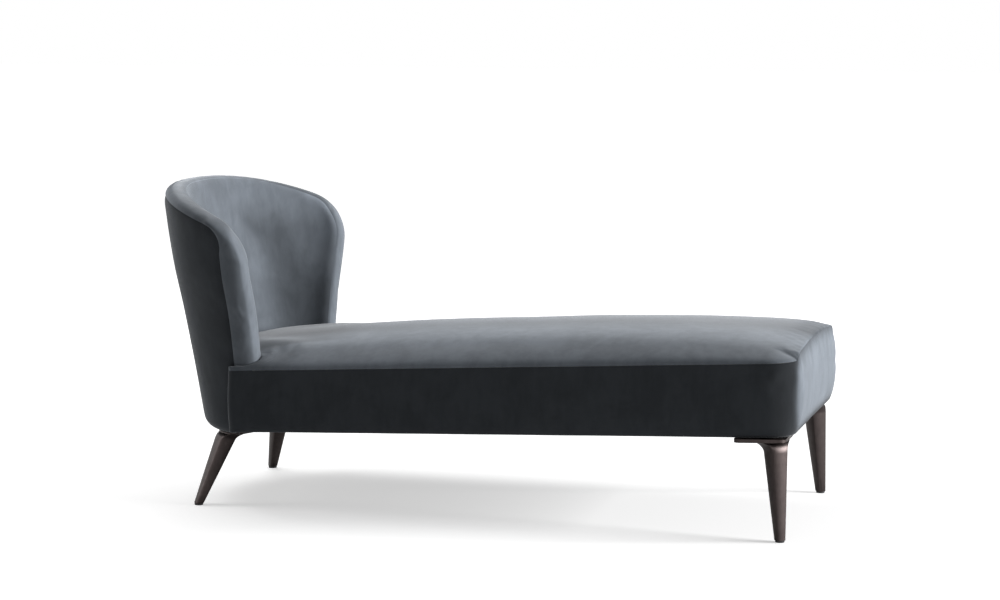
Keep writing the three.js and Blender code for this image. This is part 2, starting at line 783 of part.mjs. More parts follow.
const band = thickSheet(bandCells(), ({ place, face }) => ({
  front: paddedFaces(place(0), 0)[face],
  back: paddedFaces(place(-coverThickness), -coverThickness)[face],
}));
const belowBase = levelSlab(backBase - cutOverrun, backBase);
const room = seatRoom(0).add(belowBase);
const aboveDustCover = levelSlab(backBase - cutOverrun, baseRailLow);
const back = {
  insideCover: solidOf(thickSheet(insideCells, skin('back'))).subtract(room),
  outsideCover: solidOf(thickSheet(outsideCells, skin('front'))).subtract(room),
  band: solidOf(band).subtract(room),
  shellBoard: shellBoard.subtract(room).subtract(levelSlab(backBase - cutOverrun, baseRailTop + gap)),
  baseRail: baseBand(railInner, railOuter, baseRailLow, baseRailTop).subtract(room),
  dustCover: baseBand(noseRadius - lining, railOuter, backBase, backBase + dustCoverThickness)
    .subtract(seatRoom(0)),
  foam: backEnvelope(-lining).subtract(room).subtract(shellBoardRoom).subtract(aboveDustCover)
    .subtract(baseBand(railInner + gap, railOuter + gap, backBase - gap, baseRailTop + gap)),
};

// Timber frame
function framePiece(x0, x1, y0, y1, z0, z1) {
  return solidOf(inSeatFrame(boxBetween(x0, x1, y0, y1, z0, z1)));
}

function mirrored(solid) {
  return solid.mirror([0, 1, 0]);
}

const sideRail = framePiece(frameRear, frameFoot, sideInner, frameSide, frameBase, railTop);
const endSpan = sideInner - gap;
const backRail = framePiece(frameRear, frameRear + railThickness, -endSpan, endSpan, frameBase, railTop);
const footRail = framePiece(frameFoot - railThickness, frameFoot, -endSpan, endSpan, frameBase, railTop);
const openRear = frameRear + railThickness + gap;
const openFoot = frameFoot - railThickness - gap;

function cornerBlock(x, turn) {
  const triangle = new THREE.Shape([
    new THREE.Vector2(0, 0),
    new THREE.Vector2(turn * cornerBlockSize, 0),
    new THREE.Vector2(0, -cornerBlockSize),
  ]);
  const block = new THREE.ExtrudeGeometry(triangle, { depth: cornerBlockHeight, bevelEnabled: false });
  return solidOf(inSeatFrame(block.translate(x, endSpan, frameBase)));
}

// Legs
const diamondPower = 1.5;

function legSection(x, y, z, half) {
  return Array.from({ length: legSides }, (_, k) => {
    const angle = Math.PI * 2 * k / legSides;
    const [c, d] = [Math.cos(angle), Math.sin(angle)];
    const reach = half / (Math.abs(c) ** diamondPower + Math.abs(d) ** diamondPower) ** (1 / diamondPower);
    return new THREE.Vector3(x + reach * c, y + reach * d, z);
  });
}

const legFoot = glideHeight + gap;
const flareShares = [0.4, 0.8, 1];

function legHalf(share) {
  return legTipHalf + (legTopHalf - legTipHalf) * share;
}

// How far the leg widens into its flange, by the distance left to the flange.
function filletReach(fillet, left) {
  if (left >= fillet) return 0;
  return fillet - arcHeight(fillet, fillet - left);
}

function legLoft(top, fillet, placeAt) {
  const height = top - legFoot;
  const plain = Array.from({ length: legRings }, (_, k) => (height - fillet) * k / (legRings - 1));
  const levels = [...plain, ...flareShares.map((share) => height - fillet * (1 - share))];
  const rings = levels.map((level) => {
    const flare = filletReach(fillet, height - level);
    const half = legHalf(level / height) + flare;
    const { x, y } = placeAt(level / height, half, flare);
    return legSection(x, y, legFoot + level, half);
  });
  const last = levels.length - 1;
  rings.push(rings[last].map((p) => p.clone().setZ(p.z + flangeThickness / 2)));
  return solidOf(lofted(rings));
}

function glideBore(x, y) {
  return solidOf(post(glideStemRadius + gap, 0, legFoot + glideStemLength, x, y));
}

function glideSolid(x, y) {
  const stem = solidOf(post(glideStemRadius, 0, legFoot + glideStemLength - gap, x, y));
  return solidOf(post(glideRadius, 0, glideHeight, x, y)).add(stem);
}

// The foot legs: outer faces plumb, an L-shaped flange under the corner of the seat
const footLegOuterX = seatLength - footLegSetback;
const flangeOuterX = footLegOuterX / Math.cos(seatTilt);
const flangeCorner = footCornerRadius - (footCornerRadius - footLegSetback) / 2;

function footFlange() {
  const [x1, y1] = [flangeOuterX, footLegOuterHalf];
  const [x0, y0] = [x1 - flangeArm, y1 - flangeArm];
  const [xi, yi] = [x1 - flangeWidth, y1 - flangeWidth];
  const tip = flangeWidth / 4;
  const outline = new THREE.Shape();
  outline.moveTo(x0 + tip, y1);
  outline.lineTo(x1 - flangeCorner, y1);
  outline.absarc(x1 - flangeCorner, y1 - flangeCorner, flangeCorner, quarter, 0, true);
  outline.lineTo(x1, y0 + tip);
  outline.absarc(x1 - tip, y0 + tip, tip, 0, -quarter, true);
  outline.lineTo(xi + tip, y0);
  outline.absarc(xi + tip, y0 + tip, tip, -quarter, -2 * quarter, true);
  outline.lineTo(xi, yi - tip);
  outline.absarc(xi - tip, yi - tip, tip, 0, quarter, false);
  outline.lineTo(x0 + tip, yi);
  outline.absarc(x0 + tip, yi + tip, tip, -quarter, -2 * quarter, true);
  outline.lineTo(x0, y1 - tip);
  outline.absarc(x0 + tip, y1 - tip, tip, 2 * quarter, quarter, true);
  const plate = new THREE.ExtrudeGeometry(outline, {
    depth: flangeThickness, bevelEnabled: false, curveSegments: 3,
  });
  return solidOf(inSeatFrame(plate.translate(0, 0, -flangeThickness - gap)));
}

const footBoltPlaces = [
  [flangeOuterX - flangeArm + flangeWidth / 2, frameSide - railThickness / 2],
  [frameFoot - railThickness / 2, footLegOuterHalf - flangeArm + flangeWidth / 2],
];
const footBoltLow = -flangeThickness - gap * 2;

function footBolt([x, y], clearance = 0) {
  const bolt = boltGeometry(boltRadius, boltHeadRadius, boltHeadHeight, boltLength, clearance);
  return solidOf(inSeatFrame(bolt.translate(x, y, footBoltLow)));
}

const footLegTop = underside(footLegOuterX - legTopHalf) - flangeThickness - gap * 2;
const footPlace = (_, half) => ({ x: footLegOuterX - half, y: footLegOuterHalf - half });
const footTip = { x: footLegOuterX - legTipHalf, y: footLegOuterHalf - legTipHalf };

function cut(solid, tools) {
  return tools.reduce((rest, tool) => rest.subtract(tool), solid);
}

const footBolts = footBoltPlaces.map((place) => footBolt(place));
const footBoltHoles = footBoltPlaces.map((place) => footBolt(place, gap));
const footLeg = cut(legLoft(footLegTop, footLegFillet, footPlace).add(footFlange()),
  [glideBore(footTip.x, footTip.y), ...footBoltHoles]);
const footGlide = glideSolid(footTip.x, footTip.y);

// The rear legs: splayed back and out, on a stud under the back's base rail, with an arm
// inward under the seat's base board
const rearArmX = rearLegTopX + rearLegFillet;
const rearArmEnd = rearLegTopY - rearArmLength + rearArmWidth / 2;
const rearFlangeTop = backBase - gap;
const rearPadTop = underside(rearArmX - rearArmWidth / 2) - gap;
const rearBoltY = rearArmEnd + boltHeadRadius;

function rearArm() {
  const half = rearArmWidth / 2;
  const outline = new THREE.Shape();
  outline.moveTo(rearArmX - half, rearLegTopY);
  outline.lineTo(rearArmX - half, rearArmEnd);
  outline.absarc(rearArmX, rearArmEnd, half, 2 * quarter, 4 * quarter, false);
  outline.lineTo(rearArmX + half, rearLegTopY);
  outline.absarc(rearArmX, rearLegTopY, half, 0, 2 * quarter, false);
  const plate = new THREE.ExtrudeGeometry(outline, {
    depth: flangeThickness, bevelEnabled: false, curveSegments: 8,
  }).translate(0, 0, rearFlangeTop - flangeThickness);
  const pad = post(boltHeadRadius * 2, rearFlangeTop - flangeThickness / 2, rearPadTop, rearArmX, rearBoltY);
  return solidOf(plate).add(solidOf(pad));
}

const rearBoltLow = rearFlangeTop - flangeThickness - gap;

function rearBolt(clearance = 0) {
  const bolt = boltGeometry(boltRadius, boltHeadRadius, boltHeadHeight,
    rearPadTop - rearBoltLow + rearBoltLength - boltHeadHeight, clearance);
  return solidOf(bolt.translate(rearArmX, rearBoltY, rearBoltLow));
}

const studReach = rearBoltLength / 2;

function rearStud(clearance = 0) {
  return solidOf(post(boltRadius + clearance, rearFlangeTop - studReach - clearance,
    rearFlangeTop + studReach + clearance, rearLegTopX, rearLegTopY));
}

const rearLegTop = rearFlangeTop - flangeThickness;
const rearPlace = (share, half, flare) => ({
  x: rearLegTipX + (rearLegTopX - rearLegTipX) * share + flare,
  y: rearLegTipY + (rearLegTopY - rearLegTipY) * share - flare,
});
const rearLeg = cut(legLoft(rearLegTop, rearLegFillet, rearPlace).add(rearArm()),
  [glideBore(rearLegTipX, rearLegTipY), rearBolt(gap), rearStud(gap)]);
const rearGlide = glideSolid(rearLegTipX, rearLegTipY);

// Long screws through the back rail into the base board, half way out to the corner blocks
const screwSpacing = (endSpan - cornerBlockSize) / 2;

function boardScrew(side, clearance = 0) {
  const screw = boltGeometry(screwRadius, screwHeadRadius, screwHeadRadius / 2, screwLength, clearance);
  const height = frameBase + baseBoardThickness / 2;
  const place = screw.rotateY(-quarter).translate(openRear, side * screwSpacing, height);
  return solidOf(inSeatFrame(place));
}

// Webbing across the side rails
const webbingSpan = openFoot - openRear;
const webbingHalf = sideInner + webbingLanding;

function webbingStrip(k) {
  const middle = openRear + webbingSpan * (k + 0.5) / webbingCount;
  const strip = new THREE.BoxGeometry(webbingWidth, webbingHalf * 2, webbingThickness);
  return strip.translate(middle, 0, webbingTop - webbingThickness / 2);
}

function crossRail(k) {
  const middle = openRear + webbingSpan * (k + 1) / (crossRailCount + 1);
  const rail = new THREE.BoxGeometry(railThickness, endSpan * 2, cornerBlockHeight);
  return rail.translate(middle, 0, frameBase + cornerBlockHeight / 2);
}

// The whole chaise longue
const both = (solid) => [solid, mirrored(solid)];
const allFootHoles = footBoltHoles.flatMap(both);
const allRearHoles = both(rearBolt(gap));
const allStudHoles = both(rearStud(gap));
const allScrewHoles = [1, -1].map((side) => boardScrew(side, gap));
const [seatGroup, backGroup, legGroup] = ['seat', 'back', 'legs'].map((name) => {
  const group = new THREE.Group();
  group.name = name;
  return group;
});
seatGroup.add(seatFrame);
const intoSeatFrame = seatFrame.matrixWorld.clone().invert();

function put(group, name, solid, finish) {
  const geometry = geometryOf(solid);
  if (group === seatFrame) geometry.applyMatrix4(intoSeatFrame);
  group.add(named(name, geometry, finish));
}

function putBoth(group, name, solid, finish) {
  put(group, `${name}_left`, solid, finish);
  put(group, `${name}_right`, mirrored(solid), finish);
}

put(seatGroup, 'seat_top_cover', seat.topCover, 'velvet');
put(seatGroup, 'seat_side_cover', cut(seat.sideCover, [...allFootHoles, ...allRearHoles]), 'velvetShade');
put(seatGroup, 'seat_foam_core', seat.foam, 'foam');
put(seatFrame, 'seat_dust_cover', cut(seat.dustCover, [...allFootHoles, ...allRearHoles]), 'lining');
putBoth(seatFrame, 'seat_side_rail', cut(sideRail, footBoltHoles), 'timber');
put(seatFrame, 'seat_back_rail', cut(backRail, allScrewHoles), 'timber');
put(seatFrame, 'seat_foot_rail', cut(footRail, allFootHoles), 'timber');
putBoth(seatFrame, 'corner_block_rear', cornerBlock(openRear, 1), 'timber');
putBoth(seatFrame, 'corner_block_foot', cornerBlock(openFoot, -1), 'timber');
for (let k = 0; k < crossRailCount; k += 1) {
  seatFrame.add(named(`seat_cross_rail_${k + 1}`, crossRail(k), 'timber'));
}
for (let k = 0; k < webbingCount; k += 1) {
  seatFrame.add(named(`webbing_${k + 1}`, webbingStrip(k), 'webbing'));
}
put(seatFrame, 'seat_base_board', cut(seat.baseBoard, [...allRearHoles, ...allScrewHoles]), 'plywood');
putBoth(seatFrame, 'base_board_screw', boardScrew(1), 'steel');
put(backGroup, 'back_inside_cover', back.insideCover, 'velvet');
put(backGroup, 'back_border_band', back.band, 'velvetBand');
put(backGroup, 'back_outside_cover', back.outsideCover, 'velvetShade');
put(backGroup, 'back_foam', back.foam, 'foam');
put(backGroup, 'back_shell_board', back.shellBoard, 'plywood');
put(backGroup, 'back_base_rail', cut(back.baseRail, allStudHoles), 'timber');
put(backGroup, 'back_dust_cover', cut(back.dustCover, allStudHoles), 'lining');
putBoth(legGroup, 'foot_leg', footLeg, 'castMetal');
putBoth(legGroup, 'rear_leg', rearLeg, 'castMetal');
putBoth(legGroup, 'foot_glide', footGlide, 'glide');
putBoth(legGroup, 'rear_glide', rearGlide, 'glide');
putBoth(legGroup, 'foot_leg_side_bolt', footBolts[0], 'steel');
putBoth(legGroup, 'foot_leg_end_bolt', footBolts[1], 'steel');
putBoth(legGroup, 'rear_leg_bolt', rearBolt(), 'steel');
putBoth(legGroup, 'rear_leg_stud', rearStud(), 'steel');

const chaise = new THREE.Group();
chaise.name = 'chaise_longue';
chaise.add(seatGroup, backGroup, legGroup);
const reach = new THREE.Box3().setFromObject(chaise);
chaise.position.x = -(reach.min.x + reach.max.x) / 2;

export default chaise;
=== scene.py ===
import math

import bmesh
import bpy
import numpy as np
from bpy.props import FloatProperty, FloatVectorProperty, PointerProperty
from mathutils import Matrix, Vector, noise


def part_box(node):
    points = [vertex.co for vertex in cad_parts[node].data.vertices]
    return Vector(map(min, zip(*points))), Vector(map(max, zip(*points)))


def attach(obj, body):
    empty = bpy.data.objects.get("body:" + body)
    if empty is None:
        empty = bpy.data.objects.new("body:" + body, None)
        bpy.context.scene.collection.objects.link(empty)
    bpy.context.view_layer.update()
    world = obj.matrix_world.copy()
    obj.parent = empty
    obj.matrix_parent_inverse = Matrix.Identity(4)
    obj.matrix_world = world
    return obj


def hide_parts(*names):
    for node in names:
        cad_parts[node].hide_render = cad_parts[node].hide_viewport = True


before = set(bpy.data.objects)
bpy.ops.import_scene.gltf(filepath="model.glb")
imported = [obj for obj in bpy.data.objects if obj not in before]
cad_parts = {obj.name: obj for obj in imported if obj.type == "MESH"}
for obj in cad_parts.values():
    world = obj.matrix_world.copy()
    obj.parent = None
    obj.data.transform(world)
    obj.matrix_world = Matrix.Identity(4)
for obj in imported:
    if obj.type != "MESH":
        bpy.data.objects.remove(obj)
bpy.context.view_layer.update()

bl_info = {
    "name": "Velvet chaise longue",
    "version": (1, 0, 0),
    "blender": (4, 5, 0),
    "location": "3D View > Sidebar > Chaise",
    "description": "Upholstery, cast legs and studio for a chaise longue built round its frame",
    "category": "Add Mesh",
}

quarter = math.pi / 2
mm = 0.001
sides = {"left": 1, "right": -1}
to_other_side = [1, -1, 1]
# The least length that is divided by
tiny = 1e-9


def linear(hex_colour):
    """A colour written as sRGB hex, as the linear values that Blender mixes."""
    values = [int(hex_colour[k:k + 2], 16) / 255 for k in (1, 3, 5)]
    return tuple(v / 12.92 if v <= 0.04045 else ((v + 0.055) / 1.055) ** 2.4 for v in values)


def size(name, description, default):
    return FloatProperty(name=name, description=description, default=default, unit="LENGTH")


def colour(name, description, hex_colour):
    return FloatVectorProperty(name=name, description=description, default=linear(hex_colour), size=3,
                               subtype="COLOR", min=0, max=1)


class ChaiseSizes(bpy.types.PropertyGroup):
    """Sizes of the seat, the back and the legs. Lengths run from the seat block's rear face."""

    block_rear: size("Block's rear face", "Its place along the frame", -0.5585)
    seat_length: size("Seat length", "From the block's rear face to the foot end's seam", 1.339)
    seat_width: size("Seat width", "Between the side seams", 0.612)
    underside_rear: size("Underside, rear", "Its height at the block's rear face", 0.186)
    underside_foot: size("Underside, foot", "Its height at the foot end", 0.234)
    seam_rear: size("Seam, rear", "Height of the side seam at the rear", 0.334)
    seam_foot: size("Seam, foot", "Height of the side seam at the foot end", 0.404)
    crown_height: size("Crown", "Height of the seat's crown over its seam", 0.0675)
    crown_peak: size("Crown's peak", "Its distance from the block's rear face", 0.760)
    crown_reach: size("Crown's rear reach", "How far behind the peak the crown would run out", 0.870)
    end_arch: size("End arch", "How far the foot end's seam rises to its middle", 0.028)
    foot_corner: size("Foot corner", "Radius of the seat's corners at the foot", 0.064)
    rear_corner: size("Rear corner", "Radius of the block's corners at the rear", 0.020)
    side_bulge: size("Side bulge", "How far the boxing swells between its seams", 0.009)
    underside_tuck: size("Underside tuck", "How far the boxing draws in at the underside", 0.007)
    back_base: size("Back's base", "Height of the back's lower edge", 0.174)
    rim_centre: size("Rim at the centre", "Height of the back's rim in the middle", 0.760)
    rim_drop: size("Rim's drop", "How much lower the rim is at the wings", 0.094)
    wing_reach: size("Wing reach", "How far the wings come forward over the seat", 0.069)
    pad_thickness: size("Back's thickness", "Through the padded back", 0.060)
    rim_corner: size("Rim corner", "Radius of the wings' top corners", 0.078)
    base_round: size("Base rounding", "Radius of the back's lower edge", 0.030)
    seam_depth: size("Outer seam", "How far the outer seam lies below the rim", 0.036)
    leg_top: size("Leg at the top", "Half the leg's width under its flange", 0.0285)
    leg_tip: size("Leg at the tip", "Half the leg's width at the glide", 0.0125)
    flange_thickness: size("Flange", "Thickness of the cast flange", 0.008)


class ChaiseColours(bpy.types.PropertyGroup):
    """Colours of the finishes."""

    velvet: colour("Velvet", "The pile seen straight on", "#565b61")
    velvet_sheen: colour("Velvet's sheen", "The pile seen along its tips", "#eef2f7")
    metal: colour("Cast metal", "Bronzed lacquer on the legs", "#423b3a")
    lining: colour("Bottom cloth", "The black cloth under seat and back", "#1b1c1e")
    foam: colour("Foam", "The padding", "#d8cca6")
    timber: colour("Timber", "The frame's rails and blocks", "#c19a68")
    webbing: colour("Webbing", "The straps under the foam", "#7a6346")
    zinc: colour("Zinc", "Bolts and screws", "#b4b7bb")
    nylon: colour("Nylon", "The glides", "#262627")
    floor: colour("Floor", "The studio's floor", "#e0e0e0")


def sizes():
    return bpy.context.scene.chaise_sizes


def colours():
    return bpy.context.scene.chaise_colours


# Shape of the seat. The arch over its width is softer within a hand's breadth of the foot end.
arch_power = 2
arch_softening = 0.3
softened_reach = 90 * mm


def arched(share, along):
    """Rise across the seat from its side seam."""
    power = arch_power - arch_softening * np.exp(-np.asarray(along) / softened_reach)
    return np.maximum(1 - np.abs(share) ** power, 0) ** (1 / power)


def underside(x):
    s = sizes()
    return s.underside_rear + (s.underside_foot - s.underside_rear) * x / s.seat_length


def seam_height(x):
    s = sizes()
    return s.seam_rear + (s.seam_foot - s.seam_rear) * x / s.seat_length


def rounded_corner(across, down, radius, let_out=None, split=quarter / 2):
    """Turns distances from two edges with a square corner into ones that follow a round corner.

    The square corner comes to lie where the round one has turned by split. let_out turns an even
    distance from the edge into the real one, by how far the corner has turned.
    """
    inside = (across < radius) & (down < radius)
    reach = np.where(inside, radius - np.minimum(across, down), 1)
    turn = np.where(down < across, quarter - (quarter - split) * (radius - across) / reach,
                    split * (radius - down) / reach)
    if let_out:
        reach = radius - let_out(radius - reach, turn)
        across, down = let_out(across, 0), let_out(down, quarter)
    return (np.where(inside, radius - reach * np.cos(turn), across),
            np.where(inside, radius - reach * np.sin(turn), down))


def crown(across, along, x):
    """Height of the seat's top, by the distances in from the side seam and the foot end's."""
    s = sizes()
    forward = s.seat_length - along - s.crown_peak
    share = np.where(forward > 0, forward / (s.seat_length - s.crown_peak), -forward / s.crown_reach)
    rolled = np.sqrt(np.maximum(1 - np.square(share), 0))
    height = s.end_arch + (s.crown_height - s.end_arch) * rolled
    return seam_height(x) + height * arched(1 - across / (s.seat_width / 2), along)


def top_at(x, y):
    s = sizes()
    return crown(s.seat_width / 2 - np.abs(y), s.seat_length - x, x)


# Shape of the back: a curved sheet, U-shaped in plan, that leans out all round. Its half width and
# depth are given at shares of its height.
width_shares = [(0, 0.266), (0.27, 0.290), (0.5, 0.325), (0.7, 0.372), (1, 0.400)]
depth_shares = [(0, 0.182), (0.5, 0.230), (1, 0.273)]
arc_steps = 72
rim_power = 2.5
# The rolled edge is fuller than a half round
nose_power = 2.7
# Places that depend on each other settle within so many rounds
settling_rounds = 4


def through(stations, z):
    """A smooth line through stations of height share and size, less half the pad's thickness."""
    s = sizes()
    at = np.array([s.back_base + (s.rim_centre - s.back_base) * share for share, _ in stations])
    value = np.array([reach - s.pad_thickness / 2 for _, reach in stations])
    count = len(stations)
    low, high = np.maximum(np.arange(count) - 1, 0), np.minimum(np.arange(count) + 1, count - 1)
    slope = (value[high] - value[low]) / (at[high] - at[low])
    k = np.clip(np.searchsorted(at, z) - 1, 0, count - 2)
    span = at[k + 1] - at[k]
    t = (z - at[k]) / span
    blend = value[k] + (value[k + 1] - value[k]) * t * t * (3 - 2 * t)
    curve = blend + t * (1 - t) ** 2 * slope[k] * span + t * t * (t - 1) * slope[k + 1] * span
    curve = np.where(t < 0, value[k] + slope[k] * span * t, curve)
    return np.where(t > 1, value[k + 1] + slope[k + 1] * span * (t - 1), curve)


def arc_lengths(z):
    """Length of the back's curve from the wing to each of its angles, at every height."""
    angles = np.linspace(0, quarter, arc_steps + 1)
    middle = (angles[1:] + angles[:-1]) / 2
    speed = np.hypot(through(depth_shares, z)[:, None] * np.cos(middle),
                     through(width_shares, z)[:, None] * np.sin(middle))
    return np.concatenate([np.zeros((len(z), 1)), np.cumsum(speed * quarter / arc_steps, axis=1)], axis=1)


def wing_straight():
    return sizes().pad_thickness / 2


def whole_run(z):
    return wing_straight() + arc_lengths(np.atleast_1d(z))[:, -1]


def angle_at(run, z):
    """The curve's angle where it has run so far from the wing's front edge."""
    length = arc_lengths(z)
    past = run - wing_straight()
    rows = np.arange(len(z))
    k = np.clip((length < past[:, None]).sum(axis=1) - 1, 0, arc_steps - 1)
    share = (past - length[rows, k]) / (length[rows, k + 1] - length[rows, k])
    return np.where(past > 0, (k + share) * quarter / arc_steps, 0)


def rim_height(run):
    s = sizes()
    share = np.minimum(run / whole_run(s.rim_centre), 1)
    return s.rim_centre - s.rim_drop * (1 - share) ** rim_power


def sheet_at(angle, ahead, z):
    """Middle of the back's sheet and the way its outer face looks, on the left half."""
    width, depth = through(width_shares, z), through(depth_shares, z)
    rise = 1 * mm
    width_slope = (through(width_shares, z + rise) - width) / rise
    depth_slope = (through(depth_shares, z + rise) - depth) / rise
    x = sizes().wing_reach - wing_straight() + ahead - depth * np.sin(angle)
    middle = np.stack([x, width * np.cos(angle), z], axis=-1)
    along = np.stack([-depth * np.cos(angle), -width * np.sin(angle), 0 * z], axis=-1)
    upward = np.stack([-depth_slope * np.sin(angle), width_slope * np.cos(angle), 0 * z + 1], axis=-1)
    facing = np.cross(along, upward)
    facing /= np.linalg.norm(facing, axis=-1, keepdims=True)
    return middle, facing


def sheet_by_run(run, z):
    return sheet_at(angle_at(run, z), np.maximum(wing_straight() - run, 0), z)


def half_thickness(edge, rise):
    """Half the pad's thickness, inner and outer, by the distances from its edge and its base."""
    s = sizes()
    nose = s.pad_thickness / 2
    rolled = np.clip(1 - edge / nose, 0, 1)
    half = nose * (1 - rolled ** nose_power) ** (1 / nose_power)
    turned = np.sqrt(np.maximum(s.base_round ** 2 - np.maximum(s.base_round - rise, 0) ** 2, 0))
    return half, np.minimum(half, nose - s.base_round + turned)


# Meshes, with their place in the mesh and the object at the origin
def merged(piece):
    """Drops loose points and joins doubled ones."""
    shaped = bmesh.new()
    shaped.from_mesh(piece.data)
    bmesh.ops.delete(shaped, geom=[v for v in shaped.verts if not v.link_faces], context="VERTS")
    bmesh.ops.remove_doubles(shaped, verts=shaped.verts, dist=0.02 * mm)
    shaped.to_mesh(piece.data)
    shaped.free()
    return piece


def surface(name, points, keep=None):
    """An open sheet of four-sided faces over a grid of points, in the block's own lengths."""
    rows, columns = points.shape[:2]
    number = np.arange(rows * columns).reshape(rows, columns)
    faces = np.stack([number[:-1, :-1], number[:-1, 1:], number[1:, 1:], number[1:, :-1]], axis=-1)
    faces = faces[keep] if keep is not None else faces.reshape(-1, 4)
    mesh = bpy.data.meshes.new(name)
    placed = points.reshape(-1, 3) + [sizes().block_rear, 0, 0]
    mesh.from_pydata(placed.tolist(), [], faces.tolist())
    piece = bpy.data.objects.new(name, mesh)
    bpy.context.collection.objects.link(piece)
    return merged(piece)


def mirrored_grid(half):
    """A grid over both halves, from one whose last column lies on the middle."""
    half = np.array(half)
    half[:, -1, 1] = 0
    return np.concatenate([half, half[:, ::-1][:, 1:] * to_other_side], axis=1)


def alone(piece):
    """Selects one piece and nothing else."""
    if bpy.context.mode != "OBJECT":
        bpy.ops.object.mode_set(mode="OBJECT")
    bpy.ops.object.select_all(action="DESELECT")
    piece.select_set(True)
    bpy.context.view_layer.objects.active = piece
    return piece


def modified(piece, kind, **settings):
    """Adds a modifier with its settings and applies it."""
    modifier = alone(piece).modifiers.new(kind.title(), kind)
    for key, value in settings.items():
        setattr(modifier, key, value)
    bpy.ops.object.modifier_apply(modifier=modifier.name)
    return piece


def smooth_shaded(piece, degrees):
    """Shades the piece smoothly over all edges that turn less than so many degrees."""
    alone(piece)
    bpy.ops.object.shade_smooth_by_angle(angle=math.radians(degrees))
    return piece


def at_points(piece, what):
    values = np.empty(len(piece.data.vertices) * 3)
    piece.data.vertices.foreach_get(what, values)
    return values.reshape(-1, 3)


def coordinates(piece):
    return at_points(piece, "co")


def set_coordinates(piece, place):
    piece.data.vertices.foreach_set("co", place.ravel())
    piece.data.update()


def pushed(piece, depth):
    """Moves each point along its normal by its own depth."""
    set_coordinates(piece, coordinates(piece) + at_points(piece, "normal") * depth[:, None])
    return piece


def distance_to_line(place, line):
    """Least distance of each point from a line through points."""
    nearest = np.full(len(place), np.inf)
    for start, end in zip(line[:-1], line[1:]):
        run = end - start
        share = np.clip((place - start) @ run / max(run @ run, tiny ** 2), 0, 1)
        nearest = np.minimum(nearest, np.linalg.norm(place - start - share[:, None] * run, axis=1))
    return nearest


def outline_of(piece):
    """The border of an open sheet as one closed line."""
    used = {}
    for polygon in piece.data.polygons:
        for edge in polygon.edge_keys:
            used[edge] = used.get(edge, 0) + 1
    following = {}
    for (a, b), count in used.items():
        if count == 1:
            following.setdefault(a, []).append(b)
            following.setdefault(b, []).append(a)
    start = next(iter(following))
    line, before, at = [start], None, start
    while len(line) == 1 or at != start:
        ahead = [v for v in following[at] if v != before]
        before, at = at, ahead[0]
        line.append(at)
    return np.array([piece.data.vertices[v].co for v in line])


def from_border(piece):
    """How far each point of an open sheet is from its border."""
    return distance_to_line(coordinates(piece), outline_of(piece))


# The velvet with its backing: light, hardly stretchy, and stiff enough to swell without small folds
cloth_behaviour = {
    "quality": 4, "mass": 0.02, "tension_stiffness": 12, "compression_stiffness": 12,
    "bending_stiffness": 2.5, "shrink_min": -0.002, "use_pressure": True, "uniform_pressure_force": 4.0,
}
cloth_steps = 20
least_hold = 0.01


def swelled(piece, reach, travel):
    """Blows the cloth up from inside by a simulation, held close to its border, up to travel."""
    before = coordinates(piece)
    group = piece.vertex_groups.new(name="held")
    for index, weight in enumerate(np.exp(-from_border(piece) / reach)):
        if weight > least_hold:
            group.add([index], float(weight), "REPLACE")
    cloth = alone(piece).modifiers.new("Cloth", "CLOTH")
    for key, value in cloth_behaviour.items():
        setattr(cloth.settings, key, value)
    cloth.settings.vertex_group_mass = group.name
    cloth.settings.effector_weights.gravity = 0
    cloth.collision_settings.use_collision = False
    cloth.point_cache.frame_end = cloth_steps
    for step in range(1, cloth_steps + 1):
        bpy.context.scene.frame_set(step)
    settled = piece.evaluated_get(bpy.context.evaluated_depsgraph_get())
    moved = np.array([v.co for v in settled.data.vertices]) - before
    piece.modifiers.remove(cloth)
    bpy.context.scene.frame_set(1)
    length = np.linalg.norm(moved, axis=1, keepdims=True)
    capped = travel * np.tanh(length / travel)
    set_coordinates(piece, before + moved * capped / np.maximum(length, tiny))
    piece.vertex_groups.clear()
    return piece


# The seat's panels
clearance = 1.5 * mm
# Points of the line round the wing's foot: on the block's rear corner, beside the wing, round its
# nose, and along the pad's inner face
ledge_turns = np.radians([0, 25, 45, 62])
beside_wing = np.array([1.5, 12, 23]) * mm
nose_points = 12
inner_points = 22


def wing_foot_line():
    """Where the seat's top meets the back, from the block's rear corner round the wing to the centre."""
    s = sizes()
    reach = s.pad_thickness / 2 + clearance
    half_width, corner = s.seat_width / 2, s.rear_corner
    centre_x = s.wing_reach - s.pad_thickness / 2
    ledge = [(corner - corner * math.sin(turn), half_width - corner + corner * math.cos(turn))
             for turn in ledge_turns]
    around = np.linspace(quarter, -quarter, nose_points)
    angle = np.linspace(0, quarter, inner_points + 1)[1:]
    nose_start = len(ledge) + len(beside_wing)
    inner_start = nose_start + nose_points
    z = np.full(inner_start + inner_points, seam_height(0.0) + 10 * mm)
    for _ in range(settling_rounds):
        width = through(width_shares, z)
        wing_side = [(x, width[len(ledge)] + reach) for x in beside_wing]
        nose_arc = [(centre_x + reach * math.cos(turn), width[nose_start + k] + reach * math.sin(turn))
                    for k, turn in enumerate(around)]
        middle, facing = sheet_at(angle, 0 * angle, z[inner_start:])
        inner = (middle - facing * reach)[:, :2]
        line = np.array(ledge + wing_side + nose_arc + inner.tolist())
        z = top_at(line[:, 0], line[:, 1])
    line[-1, 1] = 0
    return np.column_stack([line, z])


# Rows of the top's grid: close steps out from the back, a fan as far as the front line, straight
# rows to the crown's peak, and rows that turn down to the foot end
front_line = 0.150
close_steps = np.array([0, 1, 3, 6, 10, 15, 22, 31]) * mm
fan_rows, straight_rows, turning_rows = 20, 43, 50
# Where round the foot's corners the side seam ends and the foot end's begins
seam_turn = math.radians(72)
